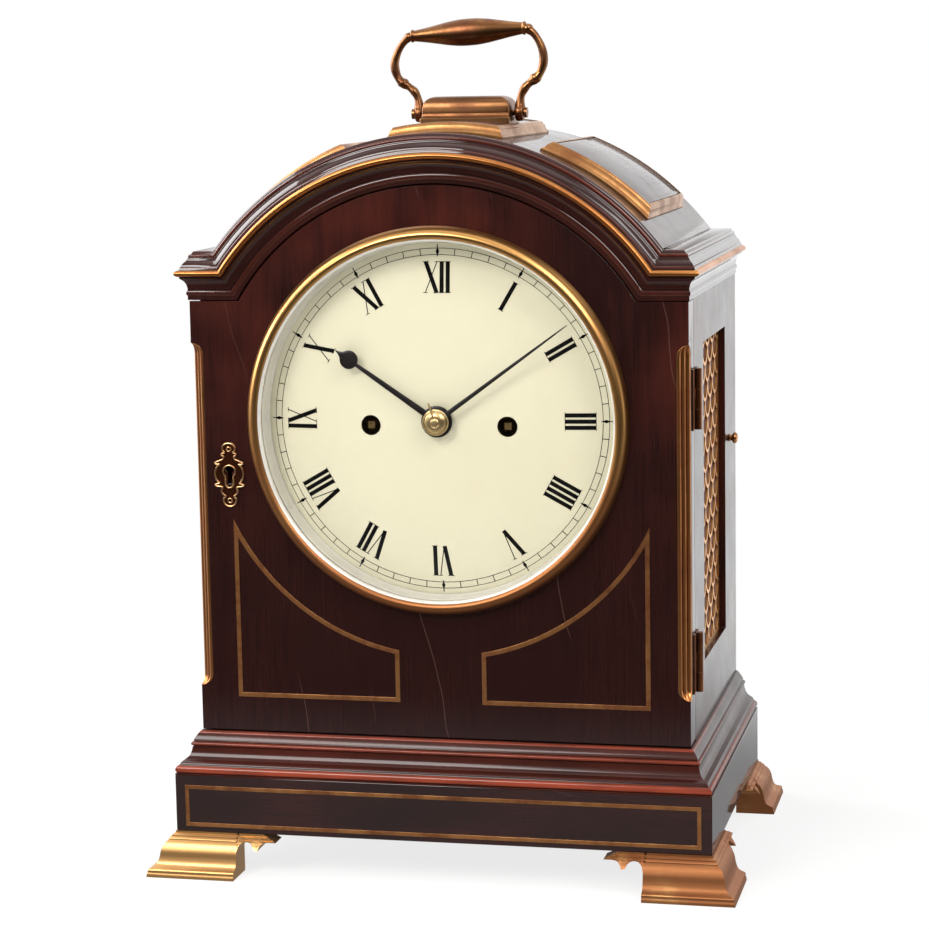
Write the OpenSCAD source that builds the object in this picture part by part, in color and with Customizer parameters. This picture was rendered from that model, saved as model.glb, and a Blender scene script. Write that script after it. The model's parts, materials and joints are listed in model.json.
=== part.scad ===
// Arched mahogany table clock with a carry handle, brass mounts, a round dial and a
// two-train fusee movement. All sizes are millimetres.
// In the drawing frame X runs across the case, Y from the door face to the back and
// Z up from the table. The last module shifts the model so that Y is centred too.

/* [Case] */
// Width of the case body
case_w = 286; // [280:1:296]
// Depth of the case body, from door face to back
case_d = 200; // [194:1:220]
// Height of the brass feet
foot_h = 24.6; // [20:0.2:32]
// Height of the plain plinth
plinth_h = 33.4; // [28:0.2:44]
// Height of the moulding on the plinth
base_mould_h = 24; // [18:0.5:30]
// Height from the moulding to the shoulders
shoulder_h = 250.5; // [249:0.5:256]
// Height of the shoulders over the dial centre
shoulder_rise = 68.5; // [66.5:0.5:70.5]
// Height of the cornice
cornice_h = 27.5; // [26:0.5:32]
// Width of each shoulder beside the arch
shoulder_w = 9.5; // [8.5:0.1:10.5]
// Thickness of the case boards
board_t = 12; // [10:0.5:14]
// How far the plinth stands out from the body
plinth_out = 13.5; // [11:0.5:18]
// How far the feet stand out from the plinth at the floor
foot_out = 14.5; // [10:0.5:20]
// Thickness of the roof boards
roof_t = 9; // [7:0.5:11]
// Clearance between fixed and moving wood
gap = 0.6; // [0.4:0.1:0.9]

/* [Door] */
// Thickness of the front door
door_t = 18; // [17:0.5:20]
// Width of the flat cut on the front corners
corner_cut = 7.5; // [5:0.5:9]
// Width of the brass lines in the door
string_w = 2.6; // [1.6:0.2:3.6]
// How far inlaid brass stands proud
string_proud = 0.4; // [0.2:0.1:0.8]
// Height of a hinge
hinge_h = 34; // [24:1:44]
// Radius of a hinge knuckle
knuckle_r = 2.2; // [2:0.1:2.8]
// Radius of a hinge pin
hinge_pin_r = 1.1; // [0.9:0.05:1.3]
// Distance from the bezel to the side of the case
bezel_side = 33; // [31:0.5:34.5]
// Width of the bezel between the wood and the dial
bezel_w = 8.5; // [7:0.1:9]
// How far the bezel covers the door
bezel_lap = 5; // [4:0.1:5.5]
// Thickness of the glasses
glass_t = 2; // [1.6:0.1:2.4]
// Rise of the front glass
glass_rise = 11; // [9:0.5:13]

/* [Dial and hands] */
// How far the dial and the glass reach behind the bezel
dial_hidden = 2; // [1.6:0.1:2.4]
// Rise of the dial
dial_rise_t = 7; // [5:0.5:8]
// Thickness of the dial sheet
dial_t = 1.2; // [1:0.1:1.6]
// Radius of the winding holes
wind_hole_r = 5.8; // [5:0.1:7]
// How far the minute hand ends short of the bezel
minute_short = 8; // [7:0.5:20]
// How far the hour hand ends short of the bezel
hour_short = 31; // [22:0.5:40]

/* [Side openings] */
// Width of a side opening
side_open_w = 94; // [74:1:104]
// Height of a side opening
side_open_h = 184.5; // [150:0.5:200]
// Half the width of a scale in the fret
scale_a = 10.5; // [8:0.5:14]
// Width of the brass in the fret
fret_w = 2; // [1.6:0.1:2.8]

/* [Handle] */
// Half of the width of the handle block
block_half = 26; // [24:0.5:30]
// Height of the handle pivots over the block seat
pivot_up = 4; // [3.5:0.1:5]
// Radius of the handle pins
handle_pin_r = 1.6; // [1.3:0.1:2]

/* [Movement] */
// Half of the width of the plates
plate_half = 75; // [73:0.5:80]
// Distance between the plates
plate_gap = 49.5; // [49:0.5:54]
// Thickness of the plates
plate_t = 2.5; // [2:0.1:3]
// Length of the pendulum to the bob centre
pendulum_len = 205; // [190:1:215]
// Radius of the bob
bob_r = 24; // [18:0.5:28]
// Radius of the bell
bell_r = 40; // [34:0.5:42]

/* [Hidden] */
$fn = 96;
seat_gap = 0.1;
WOOD = "#3a1510";
BRASS = "#c08a3e";
STEEL = "#3b3f4a";

// Heights
plinth_z = foot_h + plinth_h;
body_z = plinth_z + base_mould_h;
shoulder_z = body_z + shoulder_h;
dial_z = shoulder_z - shoulder_rise;
top_z = shoulder_z + cornice_h;
half_w = case_w / 2;
arch_r = half_w - shoulder_w;
bezel_r = half_w - bezel_side;
door_hole_r = bezel_r - bezel_lap;
view_r = bezel_r - bezel_w;
dial_r = view_r + dial_hidden;
minute_len = view_r - minute_short;
hour_len = view_r - hour_short;
foot_reach = plinth_out + foot_out;
origin_y = ((case_d + foot_out) - foot_reach) / 2;
inner_half = half_w - board_t;
face_y = door_t + gap;
mask_t = 8;
roof_r = arch_r + cornice_h - 1;
roof_in_r = roof_r - roof_t;
crown_z = dial_z + roof_r;

// Mouldings as [how far it stands out, height over its foot]
base_mould = [[1, 0], [0.963, 0.05], [0.963, 0.133], [0.933, 0.19], [0.874, 0.246],
    [0.778, 0.288], [0.681, 0.32], [0.585, 0.358], [0.489, 0.41], [0.437, 0.475],
    [0.4, 0.56], [0.385, 0.64], [0.415, 0.683], [0.407, 0.725], [0.363, 0.767],
    [0.311, 0.825], [0.237, 0.9], [0.163, 0.954], [0.06, 1]];
cornice_low = [[0.6, 0], [0.6, 0.218], [0.9, 0.29], [1.5, 0.35], [2.4, 0.396], [3.8, 0.436],
    [4.2, 0.458]];
cornice_high = [[4.2, 0.647], [3.9, 0.68], [2.3, 0.75], [1, 0.822], [0.2, 0.873],
    [-0.9, 0.88], [-0.9, 0.924], [-1.8, 0.953], [-2.6, 1]];
cornice_brass = [[4.2, 0.458], [5.6, 0.487], [6.5, 0.52], [6.8, 0.553], [6.5, 0.583],
    [5.8, 0.61], [4.2, 0.647]];
foot_ogee = [[1, 0], [0.98, 0.08], [0.91, 0.187], [0.72, 0.24], [0.63, 0.29], [0.56, 0.44],
    [0.52, 0.585], [0.41, 0.73], [0.28, 0.81], [0.28, 0.85], [0.17, 0.87], [0.17, 0.92],
    [0.03, 0.94], [0.03, 1]];

// Door and its hinges
door_low = body_z + gap;
door_top = shoulder_z - gap;
door_arch_r = arch_r - 0.9;
door_arch_back_r = arch_r - 8;
hinge_x = half_w + knuckle_r + 0.2;
hinge_y = door_t + gap / 2;
hinge_zs = [dial_z - 136.5, dial_z + 12.5];
leaf_t = 1.1;
leaf_w = 9;
lock_in = 21;
lock_x = lock_in - half_w;
lock_z = dial_z - 32;
lock_half = 14;

// Rear door
rear_side = 39;
rear_half = half_w - rear_side;
rear_low = body_z + 22;
rear_t = 12;
rear_y = case_d - rear_t;
rear_gap = 1;
rear_stile = 22;
rear_hinge_x = rear_half;
rear_hinge_y = case_d + knuckle_r + 0.2;
rear_hinge_zs = [dial_z - 130, dial_z - 24];
catch_x = -rear_half + rear_stile / 2;

// Dial, hands and winding arbors
dial_edge_y = 12.5;
wind_x = 39.5;
wind_dz = -3;
hour_angle = 304.5;
minute_angle = 54;
hour_y = [1.4, 2.8];
minute_y = [-1, 0.2];

// Movement
plate_y = 30;
back_plate_y = plate_y + plate_t + plate_gap;
plate_low = dial_z - 86;
plate_high = dial_z + 74;
play = 0.05;
pivot_r = 1;
arbor_r = 1.1;
great_y = plate_y + plate_t + 2.5;
train_y0 = plate_y + plate_t + 0.4;
train_y1 = back_plate_y - 0.4;
leaves = 8;
great_n = 96;
strike_n = 84;
strike_m = 0.786;
centre_n = 96;
centre_m = 0.55;
third_n = 88;
third_m = 0.46;
pin_n = 64;
pin_m = 0.5;
cannon_n = 16;
minute_n = 48;
minute_m = 0.5;
small_n = 12;
hour_n = 48;
hour_m = (cannon_n + minute_n) * minute_m / (small_n + hour_n);
escape_n = 30;
escape_r = 15;
stud_r = 1.2;
centre_wheel_y = [train_y1 - 11.5, train_y1 - 9.5];
third_wheel_y = [train_y1 - 23, train_y1 - 21.4];
escape_wheel_y = [train_y1 - 34, train_y1 - 32.4];
motion_y = [plate_y - 2.6, plate_y - 1.1];
hour_wheel_y = [plate_y - 5.8, plate_y - 4.3];
pin_wheel_y = [train_y1 - 32, train_y1 - 30.2];
pin_path_r = 12.6;
fly_r = 11;
centre_pos = [0, 0];
going_fusee_pos = [wind_x, wind_dz];
strike_fusee_pos = [-wind_x, wind_dz];
great_m = 2 * norm(going_fusee_pos) / (great_n + leaves);
barrel_pos = [44, -51];
barrel_r = 22;
third_pos = at(centre_pos, 20, centre_n + leaves, centre_m);
escape_pos = at(third_pos, -asin(third_pos[0] / ((third_n + leaves) * third_m / 2)),
    third_n + leaves, third_m);
pallet_pos = escape_pos + [0, 21];
pin_pos = at(strike_fusee_pos, -8.8, strike_n + leaves, strike_m);
fly_pos = at(pin_pos, 46.3, pin_n + leaves, pin_m);
minute_wheel_pos = at(centre_pos, 135, cannon_n + minute_n, minute_m);
hammer_pos = pin_pos + [-11, 17.3];
pallet_z = dial_z + pallet_pos[1];
pendulum_y = back_plate_y + plate_t + 10;
cock_y = back_plate_y + plate_t + 4;
cock_t = 2.5;
rod_half = 1.2;
bell_post = 18;
bell_z = plate_high + bell_post;
bell_y = face_y + mask_t + bell_r + 3;

leg_w = 38;
wing_w = 23;
side_y = (face_y + case_d) / 2 - 5.3;
side_over = 28.5;
side_z = shoulder_z - side_over - side_open_h;
knob_y = side_y + side_open_w / 2 + 18;
knob_z = dial_z - 30;
knob_rod_r = 1.3;
knob_pull = 8;
mask_hole_r = view_r - 3.5;
dial_foot = (dial_r - 18.6) / sqrt(2);
lip_y = 4;
lip_r = roof_r - 8;
mitre_low = sqrt(pow(arch_r, 2) - pow(shoulder_z - dial_z, 2));
arch_top_r = arch_r + cornice_h;
mitre_top = sqrt(pow(arch_top_r, 2) - pow(top_z - dial_z, 2));
mitre_lap = 0.02;
band_p = cornice_brass[0][0];
pads = [[-33.2, 13], [0, 12.2], [33.2, 13]];
pad_h = 6.5;
pad_edge = 1.8;
pad_y = [32, 166];
pad_rim = 6;
pad_sunk = 0.5;
block_y = (pad_y[0] + pad_y[1]) / 2;
block_z = crown_z + pad_h - pad_sunk;
pivot_z = block_z + pivot_up;
block_half_d = 12.5;
eye_r = 5;
eye_in = block_half + 1.6;
eye_t = 5;
grip_z = pivot_z + 47;
grip_half = 34;
leg_path = [[30.1, 0], [30.1, 6], [31.6, 10.5], [35.5, 13.4], [40, 16.4], [43.4, 21.5],
    [44.6, 28], [43.4, 35], [40.6, 40.6], [36.4, 45], [32.2, 47]];
fret_deep = 4;
fret_t = 1.2;
lock_y = [7, door_t];
panel_x = [24, half_w - 22.5];
panel_low = door_low + 19.9;
panel_h = 110;
reed_r = 1.55;
reed_step = 2.1;
glass_r = view_r + dial_hidden;
bolt_y = [11, 15];
bolt_z = [-2.4, 2.6];
bolt_x = [lock_x + 4.5, lock_x + 13];
bolt_throw = 5;
staple_x = bolt_x[0] - 2.4;
pipe_r = 3.2;
cannon_r = 2;
pillar_spots = [[-66, 9.5 - 86], [66, 9.5 - 86], [0, 9.5 - 86], [-66, 64], [66, 64]];
barrel_y = [great_y + 5, train_y1 - 6];
fusee_r = [15.5, 7.5];
fusee_turns = 10;
fusee_y = [great_y + 3, train_y1 - 3];
bell_h = 24;
bell_wall = 2.2;

// Where a gear sits that meshes with one at a given place, along a bearing from the top
function at(from, turn, teeth, m) = from + teeth * m / 2 * [sin(turn), cos(turn)];

// Helpers: flat outlines stood up along Y or X, rods along Y or X, turned work on Y
module xz(y0, y1) translate([0, y1, 0]) rotate([90, 0, 0]) linear_extrude(y1 - y0) children();
module yz(x0, x1) translate([x0, 0, 0]) rotate([90, 0, 90]) linear_extrude(x1 - x0) children();
module rod(x, z, y0, y1, r) translate([x, y0, z]) rotate([-90, 0, 0]) cylinder(r = r, h = y1 - y0);
module rod_x(y, z, x0, x1, r) translate([x0, y, z]) rotate([0, 90, 0]) cylinder(r = r, h = x1 - x0);
module turned(points, x = 0, z = dial_z) translate([x, 0, z]) rotate([-90, 0, 0])
    rotate_extrude() polygon(points);
module slab(x0, x1, y0, y1, z0, z1) translate([x0, y0, z0]) cube([x1 - x0, y1 - y0, z1 - z0]);
module both_sides() { children(); mirror([1, 0, 0]) children(); }

// A block with the same moulded outline on the front, the sides and, if wanted, the back
module moulded_block(outline, reach, z0, h, back) {
    front = [for (p = outline) [-reach * p[0], z0 + h * p[1]]];
    side = [for (p = outline) [half_w + reach * p[0], z0 + h * p[1]]];
    last = len(outline) - 1;
    intersection() {
        yz(-case_w, case_w) polygon(concat(front, [[back, z0 + h], [back, z0]]));
        xz(-case_w, case_d * 2) polygon(concat(side,
            [for (i = [0 : last]) [-side[last - i][0], side[last - i][1]]]));
    }
}

// Case
module plinth() color(WOOD) difference() {
    slab(-half_w - plinth_out, half_w + plinth_out, -plinth_out, case_d, foot_h, plinth_z);
    slab(-inner_half, inner_half, face_y + mask_t, rear_y, foot_h + board_t, plinth_z + 1);
}

module base_moulding() color(WOOD) difference() {
    moulded_block(base_mould, plinth_out, plinth_z, base_mould_h, case_d);
    slab(-inner_half, inner_half, face_y + mask_t, rear_y, plinth_z - 1, body_z + 1);
}

module frame_outline(w, h, line) difference() {
    square([w, h]);
    translate([line, line]) square([w - 2 * line, h - 2 * line]);
}

module plinth_stringing() color(BRASS) {
    edge = 6;
    translate([-half_w - plinth_out + edge, 0, foot_h + edge / 2])
        xz(-plinth_out - string_proud, -plinth_out)
        frame_outline(case_w + 2 * (plinth_out - edge), plinth_h - 1.5 * edge, string_w - 0.3);
}

// Bracket of a foot seen square on: u runs inwards from the tip of the toe
module bracket_outline() difference() {
    square([leg_w + wing_w + 1, foot_h]);
    translate([leg_w, -1]) square([wing_w + 2, foot_h * 0.62 + 1]);
    translate([leg_w + 5.2, foot_h * 0.62]) circle(r = 5.2);
    translate([leg_w + 17.5, foot_h * 0.62]) circle(r = 5);
    translate([leg_w + 17.5, -1]) square([wing_w, foot_h * 0.62 + 6]);
    polygon([[leg_w + wing_w - 7.5, foot_h + 1], [leg_w + wing_w, foot_h * 0.62 + 5],
        [leg_w + wing_w + 2, foot_h * 0.62 + 5], [leg_w + wing_w + 2, foot_h + 1]]);
}

module ogee_block() {
    profile = [for (p = foot_ogee) [foot_out * p[0], foot_h * p[1]]];
    wall = 9;
    difference() {
        intersection() {
            yz(-foot_out - 1, 90) polygon(concat([for (p = profile) [-p[0], p[1]]],
                [[90, foot_h], [90, 0]]));
            xz(-foot_out - 1, 90) polygon(concat([for (p = profile) [-p[0], p[1]]],
                [[90, foot_h], [90, 0]]));
        }
        slab(wall, 100, wall, 100, -1, foot_h + 1);
    }
}

// One foot with its outer corner at the origin, reaching towards +X and +Y
module corner_foot() intersection() {
    ogee_block();
    union() {
        translate([-foot_out, 0, 0]) xz(-foot_out - 1, 9) bracket_outline();
        translate([0, -foot_out, 0]) yz(-foot_out - 1, 9) bracket_outline();
    }
}

module feet() color(BRASS) both_sides() {
    corner_x = half_w + plinth_out;
    translate([-corner_x, -plinth_out, 0]) corner_foot();
    translate([-corner_x, case_d, 0]) mirror([0, 1, 0]) corner_foot();
}

module side_board(s) color(WOOD) difference() {
    slab(inner_half, half_w, face_y, case_d, body_z, shoulder_z);
    slab(inner_half - 1, half_w + 1, side_y - side_open_w / 2, side_y + side_open_w / 2,
        side_z, side_z + side_open_h);
    if (s > 0) rod_x(knob_y, knob_z, inner_half - 1, half_w + 1, knob_rod_r + play);
}
module side_right() side_board(1);
module side_left() mirror([1, 0, 0]) side_board(-1);

module repeat_knob() color(BRASS) {
    rod_x(knob_y, knob_z, inner_half - knob_pull - 12, half_w + 2, knob_rod_r);
    rod_x(knob_y, knob_z, inner_half - knob_pull - 3, inner_half - knob_pull - 0.6, 3);
    translate([half_w + 0.3, knob_y, knob_z]) rotate([0, 90, 0]) rotate_extrude()
        polygon([[0, 0], [2.2, 0], [1.8, 1.4], [3, 2], [3.4, 3.2], [3, 4.4], [1.6, 5], [0, 5.1]]);
}

// Inside of the case, seen from the front: straight sides under the roof arch
module inside_outline(low) union() {
    translate([-inner_half, low]) square([2 * inner_half, shoulder_z - low]);
    intersection() {
        translate([0, dial_z]) circle(r = roof_in_r - seat_gap);
        translate([-inner_half, shoulder_z - 1]) square([2 * inner_half, roof_in_r]);
    }
}

module front_frame() color(WOOD) difference() {
    xz(face_y, face_y + mask_t) inside_outline(body_z);
    rod(0, dial_z, face_y - 1, face_y + mask_t + 1, mask_hole_r);
}

module rear_opening(grow) union() {
    translate([-rear_half - grow, rear_low - grow])
        square([2 * (rear_half + grow), dial_z - rear_low + grow]);
    translate([0, dial_z]) circle(r = rear_half + grow);
}

module back_frame() color(WOOD) difference() {
    xz(rear_y, case_d) inside_outline(body_z);
    xz(rear_y - 1, case_d + 1) rear_opening(0);
}

// The roof springs from the cornice rails; its front lip lies over the cornice
module roof_section(r_in, low) difference() {
    union() {
        intersection() {
            translate([0, dial_z]) circle(r = roof_r);
            translate([-roof_r, top_z]) square([2 * roof_r, roof_r]);
        }
        translate([-inner_half, low]) square([2 * inner_half, top_z - low]);
    }
    translate([0, dial_z]) circle(r = r_in);
}

module roof_lip() intersection() {
    xz(lip_y, face_y) difference() {
        translate([0, dial_z]) circle(r = roof_r);
        translate([0, dial_z]) circle(r = lip_r);
    }
    slab(-case_w, case_w, 0, case_d, top_z, crown_z + 1);
}

module roof_shell() color(WOOD) union() {
    xz(face_y, case_d) roof_section(roof_in_r, shoulder_z + cornice_h / 2);
    roof_lip();
}

// The cornice: arched over the dial, straight over the shoulders and along the sides
// The straight mouldings run past the mitre by a hair so that they join the arch
module mitre_mask(y0, y1, lap = 0) xz(y0, y1) polygon([[lap - mitre_low, shoulder_z],
    [lap - mitre_top, top_z], [lap - mitre_top, top_z + arch_r], [mitre_top - lap, top_z + arch_r],
    [mitre_top - lap, top_z], [mitre_low - lap, shoulder_z]]);

module cornice_run(points) {
    difference() {
        moulded_block(points, 1, shoulder_z, cornice_h, case_d);
        slab(-inner_half, inner_half, face_y, case_d + 1, shoulder_z - 1, top_z + 1);
        mitre_mask(-case_w, face_y + 1, mitre_lap);
    }
    intersection() {
        turned(concat([for (p = points) [arch_r + cornice_h * p[1], -p[0]]],
            [[arch_top_r, face_y], [arch_r, face_y]]));
        mitre_mask(-case_w, face_y);
    }
}

module cornice() color(WOOD) difference() {
    cornice_run(concat(cornice_low, cornice_high));
    roof_lip_space();
}

module roof_lip_space() intersection() {
    xz(lip_y, face_y + 1) difference() {
        translate([0, dial_z]) circle(r = arch_top_r + 1);
        translate([0, dial_z]) circle(r = lip_r - seat_gap);
    }
    slab(-case_w, case_w, 0, case_d, top_z, crown_z + 5);
}

module cornice_band() color(BRASS) {
    z0 = shoulder_z + cornice_h * cornice_brass[0][1];
    z1 = shoulder_z + cornice_h * cornice_brass[len(cornice_brass) - 1][1];
    difference() {
        intersection() {
            moulded_block(cornice_brass, 1, shoulder_z, cornice_h, case_d);
            slab(-case_w, case_w, -case_w, case_d, z0, z1);
        }
        slab(-half_w - band_p, half_w + band_p, -band_p, case_d + 1, z0 - 1, z1 + 1);
        mitre_mask(-case_w, face_y + 1, mitre_lap);
    }
    intersection() {
        turned([for (p = cornice_brass) [arch_r + cornice_h * p[1], -p[0]]]);
        mitre_mask(-case_w, face_y);
    }
}

// Raised pads on the roof: [middle angle, half angle] as seen from the front
module roof_sector(mid, half_angle, r0, r1, y0, y1) translate([0, y1, dial_z])
    rotate([90, mid, 0]) rotate([0, 0, 90 - half_angle])
    rotate_extrude(angle = 2 * half_angle) translate([r0, 0]) square([r1 - r0, y1 - y0]);
module pad_tier(p, inset, r0, r1) roof_sector(p[0], p[1] - inset / roof_r * 57.3, r0, r1,
    pad_y[0] + inset, pad_y[1] - inset);

module roof_pads() color(WOOD) for (p = pads)
    pad_tier(p, pad_rim, roof_r + play, roof_r + pad_h - pad_sunk);

module pad_mouldings() color(BRASS) for (p = pads) difference() {
    union() {
        for (i = [0 : 2]) pad_tier(p, i * pad_edge, roof_r + play, roof_r + pad_h * (0.45 + 0.275 * i));
    }
    pad_tier(p, pad_rim, roof_r - 1, roof_r + pad_h + 1);
}

// Handle: seen from the front, the bail is two curved legs and a turned grip
module handle_block() color(BRASS) difference() {
    translate([0, block_y, 0]) intersection() {
        yz(-block_half - 4, block_half + 4) polygon([[-block_half_d - 3, block_z - 4],
            [-block_half_d - 3, block_z + 1.6], [-block_half_d, block_z + 2.6],
            [-block_half_d, block_z + 9], [-block_half_d + 6, block_z + 14],
            [block_half_d - 6, block_z + 14], [block_half_d, block_z + 9],
            [block_half_d, block_z + 2.6], [block_half_d + 3, block_z + 1.6],
            [block_half_d + 3, block_z - 4]]);
        xz(-block_half_d - 4, block_half_d + 4) polygon([[-block_half - 0.8, block_z - 4],
            [-block_half - 0.8, block_z + 1.2], [-block_half, block_z + 1.6],
            [-block_half, block_z + 9.4], [-block_half + 7, block_z + 14],
            [block_half - 7, block_z + 14], [block_half, block_z + 9.4],
            [block_half, block_z + 1.6], [block_half + 0.8, block_z + 1.2],
            [block_half + 0.8, block_z - 4]]);
    }
    rod(0, dial_z, 0, case_d, block_z - dial_z + play);
    for (s = [-1, 1])
        rod_x(block_y, pivot_z, s * block_half - 8, s * block_half + 8, handle_pin_r);
}

module handle_pins() color(BRASS) both_sides() {
    rod_x(block_y, pivot_z, block_half - 8, eye_in + eye_t + 1, handle_pin_r);
    rod_x(block_y, pivot_z, eye_in + eye_t + 0.4, eye_in + eye_t + 2, handle_pin_r + 1.4);
}

module handle() color(BRASS) union() {
    both_sides() difference() {
        union() {
            rod_x(block_y, pivot_z, eye_in, eye_in + eye_t, eye_r);
            xz(block_y - 3.2, block_y + 3.2) bail_leg();
        }
        rod_x(block_y, pivot_z, eye_in - 1, eye_in + eye_t + 1, handle_pin_r + play);
    }
    translate([0, block_y, grip_z]) rotate([0, 90, 0]) rotate_extrude() polygon(concat([[0, -grip_half]],
        [for (i = [0 : 16]) let (u = -1 + i / 8) [2.6 + 4.8 * pow(cos(90 * u), 0.8), grip_half * u]],
        [[0, grip_half]]));
}

// Front view of one leg of the bail as a ribbon along points [x, height over the pivot]
function normal(i) = let (a = leg_path[max(i - 1, 0)], b = leg_path[min(i + 1, len(leg_path) - 1)],
    d = b - a) [-d[1], d[0]] / norm(d);
module bail_leg() {
    half = 2.1;
    shift = eye_in + eye_t / 2 - leg_path[0][0];
    last = len(leg_path) - 1;
    left = [for (i = [0 : last]) leg_path[i] + half * normal(i)];
    right = [for (i = [0 : last]) leg_path[last - i] - half * normal(last - i)];
    translate([shift, pivot_z]) polygon(concat(left, right));
}

// Side frets: rows of scales, open between brass lines
module scale_hole() difference() {
    union() {
        circle(r = scale_a - fret_w / 2);
        translate([-scale_a, 0]) square([2 * scale_a, scale_a]);
    }
    for (s = [-1, 1]) translate([s * scale_a, scale_a]) circle(r = scale_a + fret_w / 2);
}

module fret_plate() {
    rows = ceil(side_open_h / scale_a) + 1;
    columns = ceil(side_open_w / scale_a / 4) + 1;
    difference() {
        translate([-side_open_w / 2, 0]) square([side_open_w, side_open_h]);
        intersection() {
            translate([-side_open_w / 2 + 1.5, 1.5]) square([side_open_w - 3, side_open_h - 3]);
            union() for (j = [0 : rows], i = [-columns : columns])
                translate([(2 * i + j % 2) * scale_a, j * scale_a]) scale_hole();
        }
    }
}

module side_frets() color(BRASS) both_sides()
    yz(half_w - fret_deep - fret_t, half_w - fret_deep) translate([side_y, side_z]) fret_plate();

module fret_silks() color("#7a2a18") both_sides()
    slab(half_w - fret_deep - fret_t - 0.8, half_w - fret_deep - fret_t,
        side_y - side_open_w / 2, side_y + side_open_w / 2, side_z, side_z + side_open_h);

// Front door
module corner_cut_prism() translate([0, 0, door_low + 25]) linear_extrude(dial_z + 46 - door_low - 25)
    polygon([[half_w + 1, -1], [half_w - corner_cut - 1, -1], [half_w + 1, corner_cut + 1]]);

module keyhole(grow = 0) {
    translate([lock_x, lock_z + 4.5]) circle(r = 2.8 + grow);
    translate([lock_x - 1.3 - grow, lock_z - 5]) square([2.6 + 2 * grow, 10]);
}

module door_frame() color(WOOD) difference() {
    union() {
        slab(-half_w, half_w, 0, door_t, door_low, door_top);
        intersection() {
            translate([0, 0, dial_z]) rotate([-90, 0, 0])
                cylinder(r1 = door_arch_r, r2 = door_arch_back_r, h = door_t);
            slab(-half_w, half_w, 0, door_t, door_top - 1, crown_z);
        }
    }
    rod(0, dial_z, -1, door_t + 1, door_hole_r);
    both_sides() corner_cut_prism();
    slab(lock_x - lock_half, lock_x + lock_half, lock_y[0], door_t + 1, lock_z - lock_half,
        lock_z + lock_half);
    xz(-1, lock_y[0] + 1) keyhole();
}

module panel_outline(inset) difference() {
    translate([panel_x[0] + inset, panel_low + inset])
        square([panel_x[1] - panel_x[0] - 2 * inset, panel_h - 2 * inset]);
    translate([0, dial_z]) circle(r = arch_r + inset);
}

module door_stringing() color(BRASS) both_sides() xz(-string_proud, 0) difference() {
    panel_outline(0);
    panel_outline(string_w);
}

module corner_reeds() color(BRASS) both_sides() {
    z0 = door_low + 26;
    z1 = dial_z + 44;
    mid = [half_w - corner_cut / 2, corner_cut / 2];
    for (i = [-1 : 1]) translate([mid[0] + i * reed_step, mid[1] + i * reed_step, z0])
        intersection() {
            cylinder(r = reed_r, h = z1 - z0);
            rotate([0, 0, 45]) translate([-4, -8, -1]) cube([8, 8, z1 - z0 + 2]);
        }
}

module bezel() color(BRASS) turned([[view_r, -3.4], [view_r + 0.6, -5.2], [view_r + 2, -6.7],
    [view_r + 4, -7.5], [view_r + 5.6, -7.2], [bezel_r - 1.6, -5], [bezel_r - 0.4, -3],
    [bezel_r, -1.2], [bezel_r, 0], [door_hole_r - 0.2, 0], [door_hole_r - 0.2, 4],
    [glass_r + 0.3, 4], [glass_r + 0.3, -1.9], [view_r, -2.2]]);

function sphere_r(half, rise) = (half * half + rise * rise) / (2 * rise);
function cap(half, rise, y_edge, n) = let (big = sphere_r(half, rise))
    [for (i = [0 : n]) let (r = half * (1 - i / n))
        [r, y_edge - (sqrt(big * big - r * r) - (big - rise))]];
module domed(half, rise, y_edge, t) {
    n = 16;
    outer = cap(half, rise, y_edge, n);
    inner = cap(half, rise, y_edge + t, n);
    turned(concat(outer, [for (i = [0 : n]) inner[n - i]]));
}
module door_glass() color("#dfe8e6", 0.3) domed(glass_r, glass_rise, -1.1, glass_t);

module escutcheon() color(BRASS) xz(-1.2, 0) difference() {
    union() {
        translate([lock_x, lock_z - 3.2]) circle(r = 8);
        translate([lock_x, lock_z + 3.6]) circle(r = 8);
        for (s = [-1, 1]) {
            translate([lock_x + s * 5.4, lock_z + 9]) circle(r = 3.2);
            translate([lock_x + s * 5.4, lock_z - 8.2]) circle(r = 2.7);
        }
        translate([lock_x - 2, lock_z + 10]) square([4, 6]);
        translate([lock_x, lock_z + 15.4]) circle(r = 3.2);
        translate([lock_x - 1.6, lock_z - 15.5]) square([3.2, 6]);
        translate([lock_x, lock_z - 15.6]) circle(r = 2.2);
    }
    translate([lock_x, lock_z + 15.4]) circle(r = 1.4);
    keyhole();
}

module door_lock() color(BRASS) difference() {
    slab(lock_x - lock_half, lock_x + lock_half, lock_y[0], door_t, lock_z - lock_half,
        lock_z + lock_half);
    slab(bolt_x[0] - bolt_throw - 2, bolt_x[1] + 0.3, bolt_y[0] - 0.3, bolt_y[1] + 0.3,
        lock_z + bolt_z[0] - 0.3, lock_z + bolt_z[1] + 0.3);
    slab(staple_x - 1.8, staple_x + 1.8, lock_y[0] + 1.4, door_t + 1, lock_z - 6.5, lock_z + 6.7);
    xz(lock_y[0] - 1, bolt_y[0]) keyhole();
}
module lock_bolt() color(STEEL) slab(bolt_x[0], bolt_x[1], bolt_y[0], bolt_y[1],
    lock_z + bolt_z[0], lock_z + bolt_z[1]);

module lock_staple() color(BRASS) difference() {
    slab(staple_x - 1, staple_x + 1, lock_y[0] + 2.2, face_y, lock_z - 5.4, lock_z + 5.6);
    slab(staple_x - 2, staple_x + 2, bolt_y[0] - 0.5, bolt_y[1] + 0.5, lock_z + bolt_z[0] - 0.5,
        lock_z + bolt_z[1] + 0.5);
}

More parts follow.
